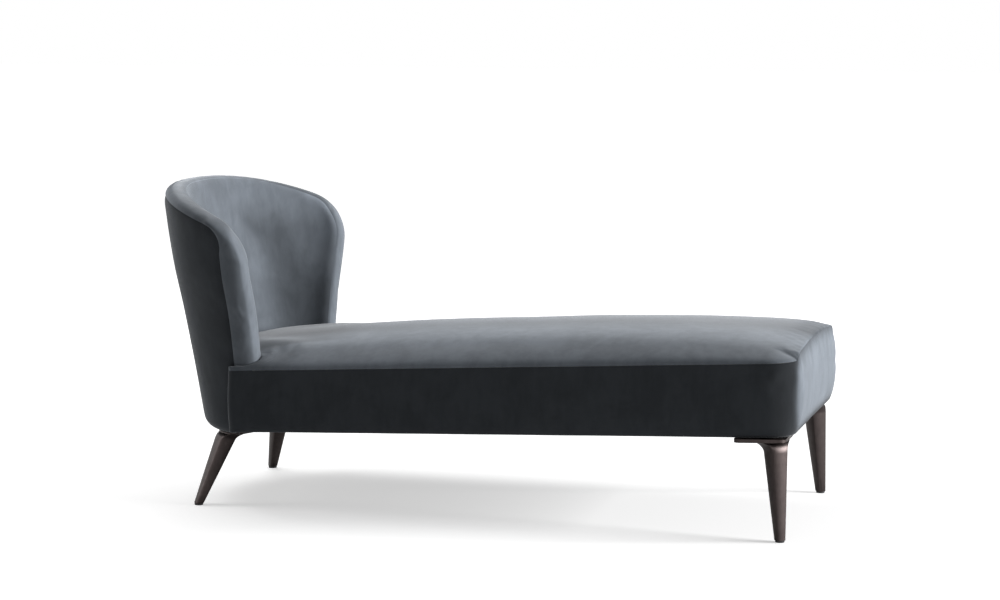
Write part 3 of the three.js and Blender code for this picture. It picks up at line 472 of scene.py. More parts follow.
# The top tucks down along the back's foot, sinks towards it, and rises in a soft roll before that
crease_round = 6 * mm
tuck_least, tuck_most = 0.5 * mm, 18 * mm
sink, sink_reach = 3.5 * mm, 30 * mm
roll, roll_place, roll_width = 4 * mm, 85 * mm, 38 * mm
level_sides = 70 * mm


def seat_top_panel():
    """The crowned top, drawn down along the back and sewn to the boxing."""
    s = sizes()
    half_width = s.seat_width / 2
    rear = wing_foot_line()
    count = len(rear)
    across = half_width * (1 - np.cos(quarter * np.linspace(0, 1, count)))
    front_y = half_width - across
    start = rear[:, :2]
    drop = np.clip(rear[:, 2] - seam_height(rear[:, 0]) + 1 * mm, tuck_least, tuck_most)
    rows = [np.column_stack([start, rear[:, 2] - drop])]
    end = np.column_stack([np.full(count, front_line), front_y])
    reach = np.linalg.norm(end - start, axis=1)
    steps = [step / reach for step in close_steps]
    steps += [steps[-1] + (1 - steps[-1]) * part for part in np.linspace(0, 1, fan_rows + 2)[1:-1]]
    for step in steps:
        plan = start + (end - start) * step[:, None]
        rows.append(np.column_stack([plan, top_at(plan[:, 0], plan[:, 1])]))
    for x in np.linspace(front_line, s.crown_peak, straight_rows + 1)[:-1]:
        rows.append(np.column_stack([np.full(count, x), front_y, top_at(x, front_y)]))
    for turn in np.linspace(0, quarter, turning_rows):
        along = np.full(count, (s.seat_length - s.crown_peak) * (1 - math.sin(turn)))
        turned_across, turned_along = rounded_corner(across, along, s.foot_corner, split=seam_turn)
        x = s.seat_length - turned_along
        rows.append(np.column_stack([x, half_width - turned_across, crown(across, along, x)]))
    piece = surface("seat_top_panel", mirrored_grid(rows))
    place = coordinates(piece)
    foot = rear[len(ledge_turns):]
    foot = np.concatenate([foot, foot[::-1] * to_other_side]) + [s.block_rear, 0, 0]
    from_back = distance_to_line(place[:, :2], foot[:, :2])
    swelled(piece, 22 * mm, 2.5 * mm)
    inside = np.maximum(crease_round ** 2 - (crease_round - from_back) ** 2, 0)
    dip = np.where(from_back < crease_round, crease_round - np.sqrt(inside), 0)
    valley = sink * np.exp(-from_back / sink_reach)
    valley -= roll * np.exp(-np.square((from_back - roll_place) / roll_width))
    between_sides = np.clip((half_width - np.abs(place[:, 1])) / level_sides, 0, 1)
    place = coordinates(piece)
    place[:, 2] -= dip + valley * between_sides
    set_coordinates(piece, place)
    return piece


def boxing_line():
    """The block's outline in plan, left half from the rear: points, ways out, swell and seam heights."""
    s = sizes()
    half_width, rear, foot = s.seat_width / 2, s.rear_corner, s.foot_corner
    line = [(0, y, -1, 0, 0, 0) for y in np.linspace(half_width - 46 * mm, half_width - rear, 4)[:-1]]
    for turn in np.linspace(2 * quarter, quarter, 8)[:-1]:
        out = (math.cos(turn), math.sin(turn))
        line.append((rear + rear * out[0], half_width - rear + rear * out[1], *out, out[1] ** 2, 0))
    for x in np.linspace(rear, s.seat_length - foot, 92)[:-1]:
        line.append((x, half_width, 0, 1, 1, 0))
    turns = [*np.linspace(0, seam_turn, 11), *np.linspace(seam_turn, quarter, 8)[1:-1]]
    for turn in turns:
        out = (math.sin(turn), math.cos(turn))
        x, y = s.seat_length - foot + foot * out[0], half_width - foot + foot * out[1]
        line.append((x, y, *out, 1, foot * max((turn - seam_turn) / (quarter - seam_turn), 0)))
    for y in np.linspace(half_width - foot, 0, 22):
        line.append((s.seat_length, y, 1, 0, 1, half_width - y))
    line = np.array(line)
    return line, seam_height(line[:, 0]) + s.end_arch * arched(1 - line[:, 5] / half_width, 0.0)


hem_width = 24 * mm
# Rows of the boxing, closer at its seams, and how suddenly it draws in at the underside
boxing_rises = [0, 0.025, 0.06, 0.11, 0.18, *np.linspace(0.27, 0.9, 10), 0.95, 0.98, 1]
tuck_power = 9


def seat_boxing():
    """The band round the block's sides and foot end, with its hem under the frame."""
    s = sizes()
    line, seam = boxing_line()
    plan, out, swell = line[:, :2], line[:, 2:4], line[:, 4]
    rows = []
    for inset in (hem_width, hem_width / 2):
        shift = -(s.underside_tuck + inset) * (0.25 + 0.75 * swell)
        low = plan + out * shift[:, None]
        rows.append(np.column_stack([low, underside(low[:, 0])]))
    for rise in boxing_rises:
        offset = s.side_bulge * math.sin(math.pi * rise) - s.underside_tuck * (1 - rise) ** tuck_power
        place = plan + out * (offset * swell)[:, None]
        low = underside(place[:, 0])
        rows.append(np.column_stack([place, low + (seam - low) * rise]))
    return swelled(surface("seat_boxing", mirrored_grid(rows)[:, ::-1]), 16 * mm, 2 * mm)


# The back's panels. How far the band comes round the nose on its inner face:
inner_seam_turn = math.radians(47)
# Outside, the seam lies close under the rim and further back down the wings: even distances and
# real ones
wing_side_map = np.array([(0, 0), (30, 30), (36, 50), (78, 78), (400, 400)]) * mm
rim_side_map = np.array([(0, 0), (36, 12), (78, 78), (400, 400)]) * mm
tuck_depth = 30 * mm
shelf_rise = 4 * mm


def nose_depth(turn):
    return sizes().pad_thickness / 2 * (1 - np.cos(turn))


def let_out(distance, turn):
    """Spreads even distances from the back's edge so that the outer seam falls in its place."""
    share = np.sin(turn) ** 3
    wing, rim = (np.interp(distance, *side_map.T) for side_map in (wing_side_map, rim_side_map))
    return wing * (1 - share) + rim * share


def back_point(across, down, face, inward=None, z=None):
    """Points of the padded back's face, inner -1 or outer 1, by distances in from its edges.

    inward gives shares of the way from the wing to the middle instead, and z sets their heights.
    """
    s = sizes()
    corner = s.rim_corner
    across, down = np.broadcast_arrays(np.asarray(across, float), np.asarray(down, float))
    if inward is None:
        run, drop = rounded_corner(across, down, corner, let_out if face > 0 else None)
        edge = np.minimum(across, down)
    else:
        run = corner + (whole_run(s.rim_centre)[0] - corner) * inward
        drop = edge = let_out(down, quarter) if face > 0 else down
    height = rim_height(run) - drop
    if z is not None:
        height = np.broadcast_to(z, height.shape).astype(float)
    if inward is not None:
        run = corner + (whole_run(height) - corner) * inward
    middle, facing = sheet_by_run(run, height)
    inner, outer = half_thickness(edge, height - s.back_base)
    reach = outer if face > 0 else -inner
    return middle + facing * reach[:, None]


def back_row(across, shares, down, face, z=None):
    """A row of points from the wing to the middle."""
    split = len(across)
    wing = back_point(across, down, face, z=None if z is None else z[:split])
    far = back_point(0 * shares + sizes().rim_corner, down, face, inward=shares,
                     z=None if z is None else z[split:])
    return np.concatenate([wing, far])


def back_inner_panel():
    """The panel that curves round the sitter, from the rim's seam down behind the seat's top."""
    corner = sizes().rim_corner
    first = nose_depth(inner_seam_turn)
    from_edge = first + (corner - first) * np.linspace(0, 1, 12) ** 1.25
    shares = np.linspace(0, 1, 47)[1:]
    rows = [back_row(from_edge, shares, down, -1) for down in from_edge]
    upper = rows[-1][:, 2]
    low = np.full(len(upper), 0.36)
    for _ in range(settling_rounds):
        at = back_row(from_edge, shares, corner, -1, z=low)
        low = np.maximum(top_at(at[:, 0], at[:, 1]) - tuck_depth,
                         np.where(at[:, 0] > -5 * mm, seam_height(at[:, 0]) + shelf_rise, 0))
    for share in np.linspace(0, 1, 34)[1:]:
        rows.append(back_row(from_edge, shares, corner, -1, z=upper + (low - upper) * share))
    return surface("back_inner_panel", mirrored_grid(rows))


def line_round_back(depth, face):
    """A line on the back's face at an even distance from its edge, up the wing and along the rim."""
    s = sizes()
    corner = s.rim_corner
    slant = corner - np.linspace(0, 1, 13) * (corner - depth)
    front_top = back_point(np.array([depth]), np.array([corner]), face)[0, 2]
    climb = np.linspace(seam_height(s.wing_reach - depth) + shelf_rise, front_top, 30)[:-1]
    return np.concatenate([
        back_point(0 * climb + depth, corner, face, z=climb),
        back_point(0 * slant + depth, slant, face),
        back_point(slant[::-1][1:], depth, face),
        back_point(np.full(47, corner), depth, face, inward=np.linspace(0, 1, 48)[1:]),
    ])


def outer_seam():
    """The seam between the band and the shell's cover, over both halves."""
    half = line_round_back(sizes().seam_depth, 1) + [sizes().block_rear, 0, 0]
    return np.concatenate([half, half[::-1][1:] * to_other_side])


def back_border_band():
    """The band round the pad's nose, from one wing over the rim to the other."""
    nose = sizes().pad_thickness / 2
    turns = np.linspace(-inner_seam_turn, quarter, 19)
    depths = [(nose_depth(abs(t)), -1 if t < 0 else 1) for t in turns]
    depths += [(nose + (sizes().seam_depth - nose) * share, 1) for share in np.linspace(0, 1, 6)[1:]]
    grid = mirrored_grid([line_round_back(depth, face) for depth, face in depths])
    return swelled(surface("back_nose_band", grid[::-1]), 6 * mm, 1.5 * mm)


def run_behind_block(z):
    """Even distances from the wing's edge at which the shell's face passes close behind the block."""
    s = sizes()
    x = -1 * mm
    aim = np.full(len(z), x)
    length = arc_lengths(z)
    rows = np.arange(len(z))
    for _ in range(settling_rounds):
        ahead = s.wing_reach - wing_straight() - aim
        at = np.arcsin(np.clip(ahead / through(depth_shares, z), -1, 1)) / quarter * arc_steps
        k = np.minimum(at.astype(int), arc_steps - 1)
        run = wing_straight() + length[rows, k] + (length[rows, k + 1] - length[rows, k]) * (at - k)
        middle, facing = sheet_by_run(run, z)
        outer = half_thickness(np.full(len(z), s.rim_corner), z - s.back_base)[1]
        aim = aim + x - (middle + facing * outer[:, None])[:, 0]
    return np.interp(run, *wing_side_map.T[::-1])


def back_outer_cover():
    """The shell's cover, from the outer seam down to the base, cut out round the seat block."""
    s = sizes()
    corner, first = s.rim_corner, s.seam_depth
    shelf = s.seam_rear + shelf_rise
    behind = float(run_behind_block(np.array([shelf]))[0])
    split = 4
    across = np.concatenate([np.linspace(first, behind, split + 1), np.linspace(behind, corner, 3)[1:]])
    shares = np.linspace(0, 1, 44)[1:]
    down = first + (corner - first) * np.linspace(0, 1, 8)
    rows = [back_row(across, shares, d, 1) for d in down]
    upper = rows[-1][:, 2]
    lines = [upper + (shelf - upper) * share for share in np.linspace(0, 1, 22)[1:]]
    above = len(rows) + len(lines) - 1
    heights = [*np.linspace(shelf, s.back_base + s.base_round, 12)[1:]]
    turns = np.linspace(0, quarter, 10)[1:]
    heights += [s.back_base + s.base_round * (1 - math.sin(turn)) for turn in turns]
    lines += [np.full(len(upper), z) for z in heights]
    for z in lines:
        placed = back_row(across, shares, corner, 1, z=z)
        level = z[split:split + 1]
        placed[split] = back_point(run_behind_block(level), corner, 1, z=level)[0]
        rows.append(placed)
    grid = mirrored_grid(rows)
    keep = np.ones((grid.shape[0] - 1, grid.shape[1] - 1), bool)
    keep[above:, :split] = keep[above:, -split:] = False
    return swelled(surface("back_outer_cover", grid[:, ::-1], keep[:, ::-1]), 10 * mm, 2.5 * mm)


# Folds, puckers and seams, laid over the simulated cloth. Places are in the frame's own lengths.
allowance = 7 * mm
cloth_thickness = 2 * mm


def turned_in(piece, crease):
    """Turns the cloth in along its border, as a seam allowance does, with a fold as sharp as crease."""
    shaped = bmesh.new()
    shaped.from_mesh(piece.data)
    shaped.normal_update()
    sharpness = shaped.edges.layers.float.new("crease_edge")
    edges = [e for e in shaped.edges if e.is_boundary]
    ways = {}
    for edge in edges:
        edge[sharpness] = crease
        centre = edge.link_faces[0].calc_center_median()
        for vert in edge.verts:
            ways.setdefault(vert, []).append((vert.normal.copy(), (centre - vert.co).normalized()))
    made = bmesh.ops.extrude_edge_only(shaped, edges=edges)["geom"]
    moved = {v.co.to_tuple(7): v for v in made if isinstance(v, bmesh.types.BMVert)}
    for vert, told in ways.items():
        normal, inward = (sum(way, Vector()).normalized() for way in zip(*told))
        moved[vert.co.to_tuple(7)].co = vert.co - normal * allowance + inward * allowance * 0.12
    bmesh.ops.recalc_face_normals(shaped, faces=shaped.faces)
    shaped.to_mesh(piece.data)
    shaped.free()
    return piece


def finished_cloth(piece, crease=0.6):
    """Turns the border in, smooths the cloth and gives it its thickness inwards, which closes it."""
    turned_in(piece, crease)
    modified(piece, "SUBSURF", levels=1, render_levels=1)
    modified(piece, "SOLIDIFY", thickness=cloth_thickness, offset=-1, use_rim=True, use_even_offset=False)
    return smooth_shaded(piece, 50)


def cloudy(place, grain, seed):
    """A soft random height from -1 to 1 at each point, as wide as grain."""
    return np.array([noise.noise(Vector(p) / grain + Vector((seed, 0, 0))) for p in place])


def undulating(piece, depth, grain, seed):
    """Slow unevenness of hand-laid padding."""
    held = 1 - np.exp(-from_border(piece) / (25 * mm))
    return pushed(piece, depth * held * cloudy(coordinates(piece), grain, seed))


def puckered(piece, depth, reach, grain, seed):
    """Small puckers where the cloth is gathered on its seams, longer upwards than along."""
    waves = cloudy(coordinates(piece) * [1, 1, 0.6], grain, seed)
    return pushed(piece, depth * waves * np.exp(-np.square(from_border(piece) / reach)))


def groove(piece, depth, reach):
    """The cloth dips into the back's outer seam, deeper down the wings than along the rim."""
    place = coordinates(piece)
    low = np.clip((sizes().rim_centre - place[:, 2]) / 0.35, 0, 1)
    away = distance_to_line(place, outer_seam())
    return pushed(piece, -depth * (0.7 + 0.6 * low) * np.exp(-away / reach))


def drawn_in(piece):
    """Draws the seat's top and boxing in along their seam, across the edge that they meet in."""
    s = sizes()
    depth, reach = 0.9 * mm, 3 * mm
    place = coordinates(piece)
    inset = s.foot_corner
    core_x = np.clip(place[:, 0], s.block_rear + inset, s.block_rear + s.seat_length - inset)
    core_y = np.clip(place[:, 1], inset - s.seat_width / 2, s.seat_width / 2 - inset)
    out = place[:, :2] - np.column_stack([core_x, core_y])
    length = np.linalg.norm(out, axis=1, keepdims=True)
    way = np.column_stack([out / np.maximum(length, tiny), np.ones(len(place))]) * math.sqrt(0.5)
    high = place[:, 2] > seam_height(place[:, 0] - s.block_rear) - 15 * mm
    at_edge = (length[:, 0] > inset * 0.9) & high
    set_coordinates(piece, place - way * (depth * at_edge * np.exp(-from_border(piece) / reach))[:, None])
    return piece


def fold(place, path, width, depth):
    """A crease or ridge along a path, deepest in its middle and fading at both ends."""
    path = np.array(path, float)
    nearest, at, total = np.full(len(place), np.inf), np.zeros(len(place)), 0
    lengths = np.linalg.norm(np.diff(path, axis=0), axis=1)
    for start, end, length in zip(path[:-1], path[1:], lengths):
        run = (end - start) / length
        along = np.clip((place - start) @ run, 0, length)
        away = np.linalg.norm(place - start - along[:, None] * run, axis=1)
        closer = away < nearest
        nearest, at = np.where(closer, away, nearest), np.where(closer, total + along, at)
        total += length
    fade = np.sin(np.pi * np.clip(at / total, 0, 1)) ** 0.7
    return depth * fade * np.exp(-np.square(nearest / width))


# Creases that pull down the inner panel where the back turns: path, width and depth in millimetres
pulled_creases = [
    ([(-0.7063, 0.1229, 0.6834), (-0.6905, 0.1564, 0.6434), (-0.6629, 0.2013, 0.588),
      (-0.6399, 0.2019, 0.5053)], 5.0, 1.6),
    ([(-0.6921, 0.165, 0.6766), (-0.679, 0.1894, 0.655), (-0.6656, 0.2098, 0.631)], 4.5, 1.0),
]
# Soft ridges down the foot end, where the padding pushes: place across, length, width and height
foot_ridges = [(-30, 96, 7, 1.8), (70, 80, 8, 1.5), (-120, 70, 8, 1.2), (160, 74, 8, 1.2)]
# Gathers in the top along the foot end's seam: distance from the side seam, way in degrees, length,
# width and depth
foot_gathers = [
    (48, 52, 52, 5.0, 0.9), (70, 46, 74, 5.5, 1.4), (93, 41, 92, 6.0, 1.7), (121, 37, 104, 6.5, 1.8),
    (156, 33, 98, 7.0, 1.6), (199, 28, 84, 7.5, 1.3), (250, 20, 66, 8.0, 0.9),
]


def gathers_at_foot(place, side):
    """Soft gathers that run from the foot end's seam in over the top, fanned away from the corner."""
    s = sizes()
    foot_x = s.block_rear + s.seat_length
    total = np.zeros(len(place))
    for inset, turn, length, width, depth in foot_gathers:
        start = np.array([foot_x - 1 * mm, side * (s.seat_width / 2 - inset * mm)])
        way = np.array([-math.cos(math.radians(turn)), -side * math.sin(math.radians(turn))])
        along = (place[:, :2] - start) @ way
        across = np.abs((place[:, :2] - start) @ [-way[1], way[0]])
        fade = np.clip(along / (8 * mm), 0, 1) * np.clip(1 - along / (length * mm), 0, 1)
        total -= depth * mm * fade * np.exp(-np.square(across / (width * mm)))
    return total


def eased(value, start, end):
    """A soft step from 0 at start to 1 at end."""
    share = np.clip((value - start) / (end - start), 0, 1)
    return share * share * (3 - 2 * share)


def painted_shading(piece, painted_level):
    """Keeps, for every point, how much painted light or shade its velvet gets."""
    layer = piece.data.attributes.new("painted_light_shade", "FLOAT", "POINT")
    layer.data.foreach_set("value", np.asarray(painted_level, dtype=np.float32))
    return piece


# Materials
def node(tree, kind, inputs=(), stops=(), **settings):
    """Adds a node with its settings, its inputs and, on a ramp, its stops of place and colour.

    An input, by its name or its number, takes a value, another node's output, or its first output.
    """
    made = tree.nodes.new(kind)
    for key, value in settings.items():
        setattr(made, key, value)
    for key, value in (inputs.items() if isinstance(inputs, dict) else enumerate(inputs)):
        if isinstance(value, bpy.types.Node):
            value = value.outputs[0]
        if isinstance(value, bpy.types.NodeSocket):
            tree.links.new(value, made.inputs[key])
        else:
            made.inputs[key].default_value = value
    while stops and len(made.color_ramp.elements) < len(stops):
        made.color_ramp.elements.new(0.5)
    for k, (at, shade) in enumerate(stops):
        made.color_ramp.elements[k].position = at
        made.color_ramp.elements[k].color = shade
    return made


def material(name):
    """A new material without nodes yet, but for the object's own coordinates."""
    made = bpy.data.materials.new(name)
    made.use_nodes = True
    made.node_tree.nodes.clear()
    return made, made.node_tree, node(made.node_tree, "ShaderNodeTexCoord").outputs["Object"]


def shades(base, *steps):
    """A ramp's stops: darker and paler shades of one colour, by place and factor."""
    return [(at, (*(min(c * factor, 1) for c in base), 1)) for at, factor in steps]


def velvet(name, from_x, from_painted_lift, to_x, to_painted_lift, sheen):
    """Cotton velvet: a short dense pile, dark seen straight on and pale along its tips.

    The pile lies a little differently from place to place, so the colour is softly clouded, and its
    tips give broken streaks down the cloth. Light and shade are also painted into the colour: two
    lifts, given at two places along the chaise, brighten or darken it between them, and a per-point
    attribute adds painted light and shade of its own. The pile itself, 0.8 mm, is drawn at 1.4 mm.
    """
    made, tree, place = material(name)
    patches = node(tree, "ShaderNodeTexNoise", {
        "Vector": place, "Scale": 1 / (95 * mm), "Detail": 3, "Roughness": 0.55, "Distortion": 0.6})
    upright = node(tree, "ShaderNodeMapping", {"Vector": place, "Scale": (1, 1, 0.3)})
    streaks = node(tree, "ShaderNodeTexNoise", {
        "Vector": upright, "Scale": 1 / (22 * mm), "Detail": 4, "Roughness": 0.6, "Distortion": 0.3})
    clouds = node(tree, "ShaderNodeMath", [patches, 1.4, streaks], operation="MULTIPLY_ADD")
    level = node(tree, "ShaderNodeMapRange", {"Value": clouds, "From Min": 0.75, "From Max": 1.65})
    tone = node(tree, "ShaderNodeValToRGB", [level],
                stops=shades(colours().velvet, (0.26, 0.89), (0.50, 1), (0.76, 1.11)))
    # Painted light and shade: the colour is lifted or darkened along the chaise and by the per-point
    # attribute
    run = node(tree, "ShaderNodeSeparateXYZ", [place])
    painted_level = node(tree, "ShaderNodeMapRange", {
        "Value": run, "From Min": from_x, "From Max": to_x, "To Min": from_painted_lift, "To Max": to_painted_lift},
        interpolation_type="SMOOTHSTEP")
    painted_attribute = node(tree, "ShaderNodeAttribute", attribute_name="painted_light_shade")
    painted_factor = node(tree, "ShaderNodeMath", [painted_attribute.outputs["Fac"], 1], operation="ADD")
    both = node(tree, "ShaderNodeMath", [painted_level, painted_factor], operation="MULTIPLY")
    lifted = node(tree, "ShaderNodeVectorMath", {0: tone, "Scale": both}, operation="SCALE")
    pile = node(tree, "ShaderNodeTexNoise", {
        "Vector": place, "Scale": 1 / (1.4 * mm), "Detail": 2, "Roughness": 0.7})
    soft = node(tree, "ShaderNodeBump", {"Height": streaks, "Strength": 0.12, "Distance": 1.2 * mm})
    relief = node(tree, "ShaderNodeBump", {
        "Height": pile, "Normal": soft, "Strength": 0.30, "Distance": 0.5 * mm})
    shader = node(tree, "ShaderNodeBsdfPrincipled", {
        "Base Color": lifted, "Normal": relief, "Roughness": 0.92, "Specular IOR Level": 0.12,
        "Sheen Weight": sheen, "Sheen Roughness": 0.40, "Sheen Tint": (*colours().velvet_sheen, 1)})
    node(tree, "ShaderNodeOutputMaterial", {"Surface": shader})
    return made


def bronzed_metal():
    """Cast aluminium under a bronzed lacquer: softly glossy, with the faint unevenness of its mould."""
    made, tree, place = material("bronzed_cast_metal")
    cast = node(tree, "ShaderNodeTexNoise", {
        "Vector": place, "Scale": 1 / (14 * mm), "Detail": 4, "Roughness": 0.6})
    tone = node(tree, "ShaderNodeValToRGB", [cast], stops=shades(colours().metal, (0.3, 0.86), (0.7, 1.14)))
    fine = node(tree, "ShaderNodeTexNoise", {"Vector": place, "Scale": 1 / (1.6 * mm), "Detail": 3})
    gloss = node(tree, "ShaderNodeMapRange", {"Value": fine, "To Min": 0.33, "To Max": 0.47})
    bump = node(tree, "ShaderNodeBump", {"Height": cast, "Strength": 0.10, "Distance": 0.6 * mm})
    shader = node(tree, "ShaderNodeBsdfPrincipled", {
        "Base Color": tone, "Roughness": gloss, "Normal": bump, "Metallic": 0.9})
    node(tree, "ShaderNodeOutputMaterial", {"Surface": shader})
    return made


def plain_grained(name, base, grain, stretch, contrast, roughness, bump_depth, metallic=0.0):
    """A finish with one stretched grain: fibre, wood, straw or machined metal, by its settings."""
    made, tree, place = material(name)
    mapping = node(tree, "ShaderNodeMapping", {"Vector": place, "Scale": stretch})
    texture = node(tree, "ShaderNodeTexNoise", {
        "Vector": mapping, "Scale": 1 / grain, "Detail": 5, "Roughness": 0.6, "Distortion": 0.4})
    tone = node(tree, "ShaderNodeValToRGB", [texture],
                stops=shades(base, (0.32, 1 - contrast), (0.68, 1 + contrast)))
    bump = node(tree, "ShaderNodeBump", {"Height": texture, "Strength": 0.4, "Distance": bump_depth})
    shader = node(tree, "ShaderNodeBsdfPrincipled", {
        "Base Color": tone, "Normal": bump, "Roughness": roughness, "Metallic": metallic})
    node(tree, "ShaderNodeOutputMaterial", {"Surface": shader})
    return made


finishes = {}


def make_finishes():
    c = colours()
    rear_x = sizes().block_rear
    foot_x = rear_x + sizes().seat_length
    finishes.update({
        # The velvet panels are lit and shaded copies of one cloth: each has a painted lift along the
        # chaise, the sides and shell darkened as painted shade and the foot end lightened as painted light
        "velvet_top": velvet("cotton_velvet_top", rear_x + 0.03, 0.95, rear_x + 0.24, 1.24, 0.35),
        "velvet_inside": velvet("cotton_velvet_inside", rear_x - 0.11, 1.25, rear_x - 0.02, 1.0, 0.45),
        "velvet_band": velvet("cotton_velvet_band", rear_x - 0.20, 1.4, rear_x - 0.06, 0.78, 0.45),
        "velvet_sides": velvet("cotton_velvet_sides", foot_x - 4 * mm, 0.40, foot_x + 7 * mm, 1.6, 0.33),
        "velvet_shell": velvet("cotton_velvet_shell", rear_x - 0.30, 0.27, rear_x - 0.05, 0.31, 0.32),
        "metal": bronzed_metal(),
        # Spunbonded polypropylene: matt black with a faint fibrous grain
        "lining": plain_grained("spunbonded_bottom_cloth", c.lining, 2.5 * mm, (1, 1, 1), 0.35, 0.9,
                                0.3 * mm),
        # Polyurethane foam: open cells about 1.5 mm across
        "foam": plain_grained("open_cell_foam", c.foam, 2 * mm, (1, 1, 1), 0.18, 0.95, 0.8 * mm),
        # Sawn beech: fine straight grain along the rail
        "timber": plain_grained("sawn_beech", c.timber, 16 * mm, (0.08, 1, 1), 0.16, 0.7, 0.3 * mm),
        # Birch plywood: veneer grain lengthwise, plies at the edge
        "plywood": plain_grained("birch_plywood", c.timber, 9 * mm, (0.2, 1, 2.4), 0.2, 0.65, 0.3 * mm),
        # Jute webbing: coarse yarns across the strap
        "webbing": plain_grained("jute_webbing", c.webbing, 3 * mm, (1, 0.15, 1), 0.3, 0.9, 0.6 * mm),
        # Zinc-plated steel: bright, slightly brushed
        "zinc": plain_grained("zinc_plated_steel", c.zinc, 2 * mm, (1, 1, 0.2), 0.08, 0.32, 0.1 * mm, 1.0),
        # Moulded nylon: dark with a dull gloss
        "nylon": plain_grained("moulded_nylon", c.nylon, 6 * mm, (1, 1, 1), 0.12, 0.5, 0.1 * mm),
    })


def finished_in(piece, finish):
    piece.data.materials.clear()
    piece.data.materials.append(finishes[finish])
    return piece


def dressed(piece, node_name, finish):
    """Says what the piece rides on, which solid it replaces and what it is made of."""
    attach(piece, "root")
    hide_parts(node_name)
    return finished_in(piece, finish)


# Cast legs
glide_height = 4 * mm
seam_to_metal = 0.3 * mm
cast_radius = 1.4 * mm
section_vertices = 32
# The leg's section is a soft diamond: 1 would be a sharp one, 2 a circle
diamond_power = 1.22


def picked(piece, mode, chosen):
    """Enters edit mode with only the vertices, edges or faces that chosen accepts selected."""
    alone(piece)
    bpy.ops.object.mode_set(mode="EDIT")
    bpy.ops.mesh.select_mode(type=mode)
    bpy.ops.mesh.select_all(action="DESELECT")
    bpy.ops.object.mode_set(mode="OBJECT")
    mesh = piece.data
    for part in {"VERT": mesh.vertices, "EDGE": mesh.edges, "FACE": mesh.polygons}[mode]:
        part.select = bool(chosen(mesh, part))
    bpy.ops.object.mode_set(mode="EDIT")


def out_of_edit():
    bpy.ops.object.mode_set(mode="OBJECT")


def edge_ends(mesh, edge):
    return [mesh.vertices[v].co for v in edge.vertices]


def placed(piece):
    alone(piece)
    bpy.ops.object.transform_apply(location=True, rotation=True, scale=True)
    return piece


def joined_with(piece, tool, operation="UNION"):
    modified(piece, "BOOLEAN", operation=operation, solver="EXACT", object=tool)
    bpy.data.objects.remove(tool)
    return piece


def block(low, high):
    """A box between two corners."""
    low, high = Vector(low), Vector(high)
    bpy.ops.object.select_all(action="DESELECT")
    bpy.ops.mesh.primitive_cube_add(size=1, location=(low + high) / 2)
    bpy.context.object.scale = high - low
    return placed(bpy.context.object)


def rod(radius, low, high, x, y, vertices):
    """An upright round bar between two heights."""
    bpy.ops.object.select_all(action="DESELECT")
    bpy.ops.mesh.primitive_cylinder_add(vertices=vertices, radius=radius, depth=high - low,
                                        location=(x, y, (low + high) / 2))
    return placed(bpy.context.object)


def rounded_edges(piece, radius, segments, chosen):
    """Rounds the upright edges that chosen accepts by their place."""
    def upright(mesh, edge):
        a, b = edge_ends(mesh, edge)
        return math.hypot(a.x - b.x, a.y - b.y) < 0.01 * mm and chosen((a + b) / 2)
    picked(piece, "EDGE", upright)
    bpy.ops.mesh.bevel(offset=radius, segments=segments, affect="EDGES")
    out_of_edit()
    return piece


def diamond_share(turn):
    """How far the leg's soft diamond section reaches at an angle from its arris."""
    total = abs(math.cos(turn)) ** diamond_power + abs(math.sin(turn)) ** diamond_power
    return total ** (-1 / diamond_power)


def leg_post(name, levels):
    """A cast post drawn up through rings of centre, height and half width."""
    centre, height, half = levels[0]
    post = rod(half, height, levels[1][1], *centre, section_vertices)
    post.name = name
    for k in range(1, section_vertices // 8 + 1):
        turn = k * 2 * math.pi / section_vertices
        share = diamond_share(turn)

        def at_turn(mesh, vertex, turn=turn):
            way = math.atan2(vertex.co.y - centre[1], vertex.co.x - centre[0]) % quarter
            return min(abs(way - turn), abs(quarter - way - turn)) < 1e-3
        picked(post, "VERT", at_turn)
        bpy.ops.transform.resize(value=(share, share, 1), center_override=(*centre, height))
        out_of_edit()
    picked(post, "FACE", lambda mesh, face: face.normal.z > 0.9)
    for k, ((before, low, old), (after, high, new)) in enumerate(zip(levels[:-1], levels[1:])):
        step = Vector((after[0] - before[0], after[1] - before[1], high - low if k else 0))
        if k:
            bpy.ops.mesh.extrude_region_move(TRANSFORM_OT_translate={"value": step})
        else:
            bpy.ops.transform.translate(value=step)
        bpy.ops.transform.resize(value=(new / old, new / old, 1), center_override=(*after, high))
    out_of_edit()
    return post


def leg_levels(top, fillet, place_at):
    """Rings from the glide up: an even taper, then a fillet that widens into the flange."""
    s = sizes()
    foot = glide_height + seam_to_metal
    height = top - foot
    shares = [k / 5 * (1 - fillet / height) for k in range(6)]
    shares += [1 - fillet / height * math.cos(quarter * k / 7) for k in range(1, 8)]
    rings = []
    for share in shares:
        left = (1 - share) * height
        flare = fillet - math.sqrt(max(fillet ** 2 - max(fillet - left, 0) ** 2, 0)) if left < fillet else 0
        half = s.leg_tip + (s.leg_top - s.leg_tip) * share + flare
        rings.append((place_at(share, half, flare), foot + share * height, half))
    centre, high, half = rings[-1]
    rings.append((centre, high + s.flange_thickness / 2, half))
    return rings


def finished_leg(leg, flange, side):
    """Joins the flange, mirrors a right leg, and gives all sharp edges their small cast radii."""
    joined_with(leg, flange)
    if side < 0:
        alone(leg)
        leg.scale.y = -1
        placed(leg)
        bpy.ops.object.mode_set(mode="EDIT")
        bpy.ops.mesh.select_all(action="SELECT")
        bpy.ops.mesh.normals_make_consistent(inside=False)
        out_of_edit()
    modified(leg, "BEVEL", width=cast_radius, segments=3, limit_method="ANGLE",
             angle_limit=math.radians(38), harden_normals=False)
    return smooth_shaded(leg, 32)


def recessed(leg, x, y):
    """The bore for the glide's stem."""
    return joined_with(leg, rod(4.3 * mm, -5 * mm, glide_height + 12.5 * mm, x, y, 20), "DIFFERENCE")


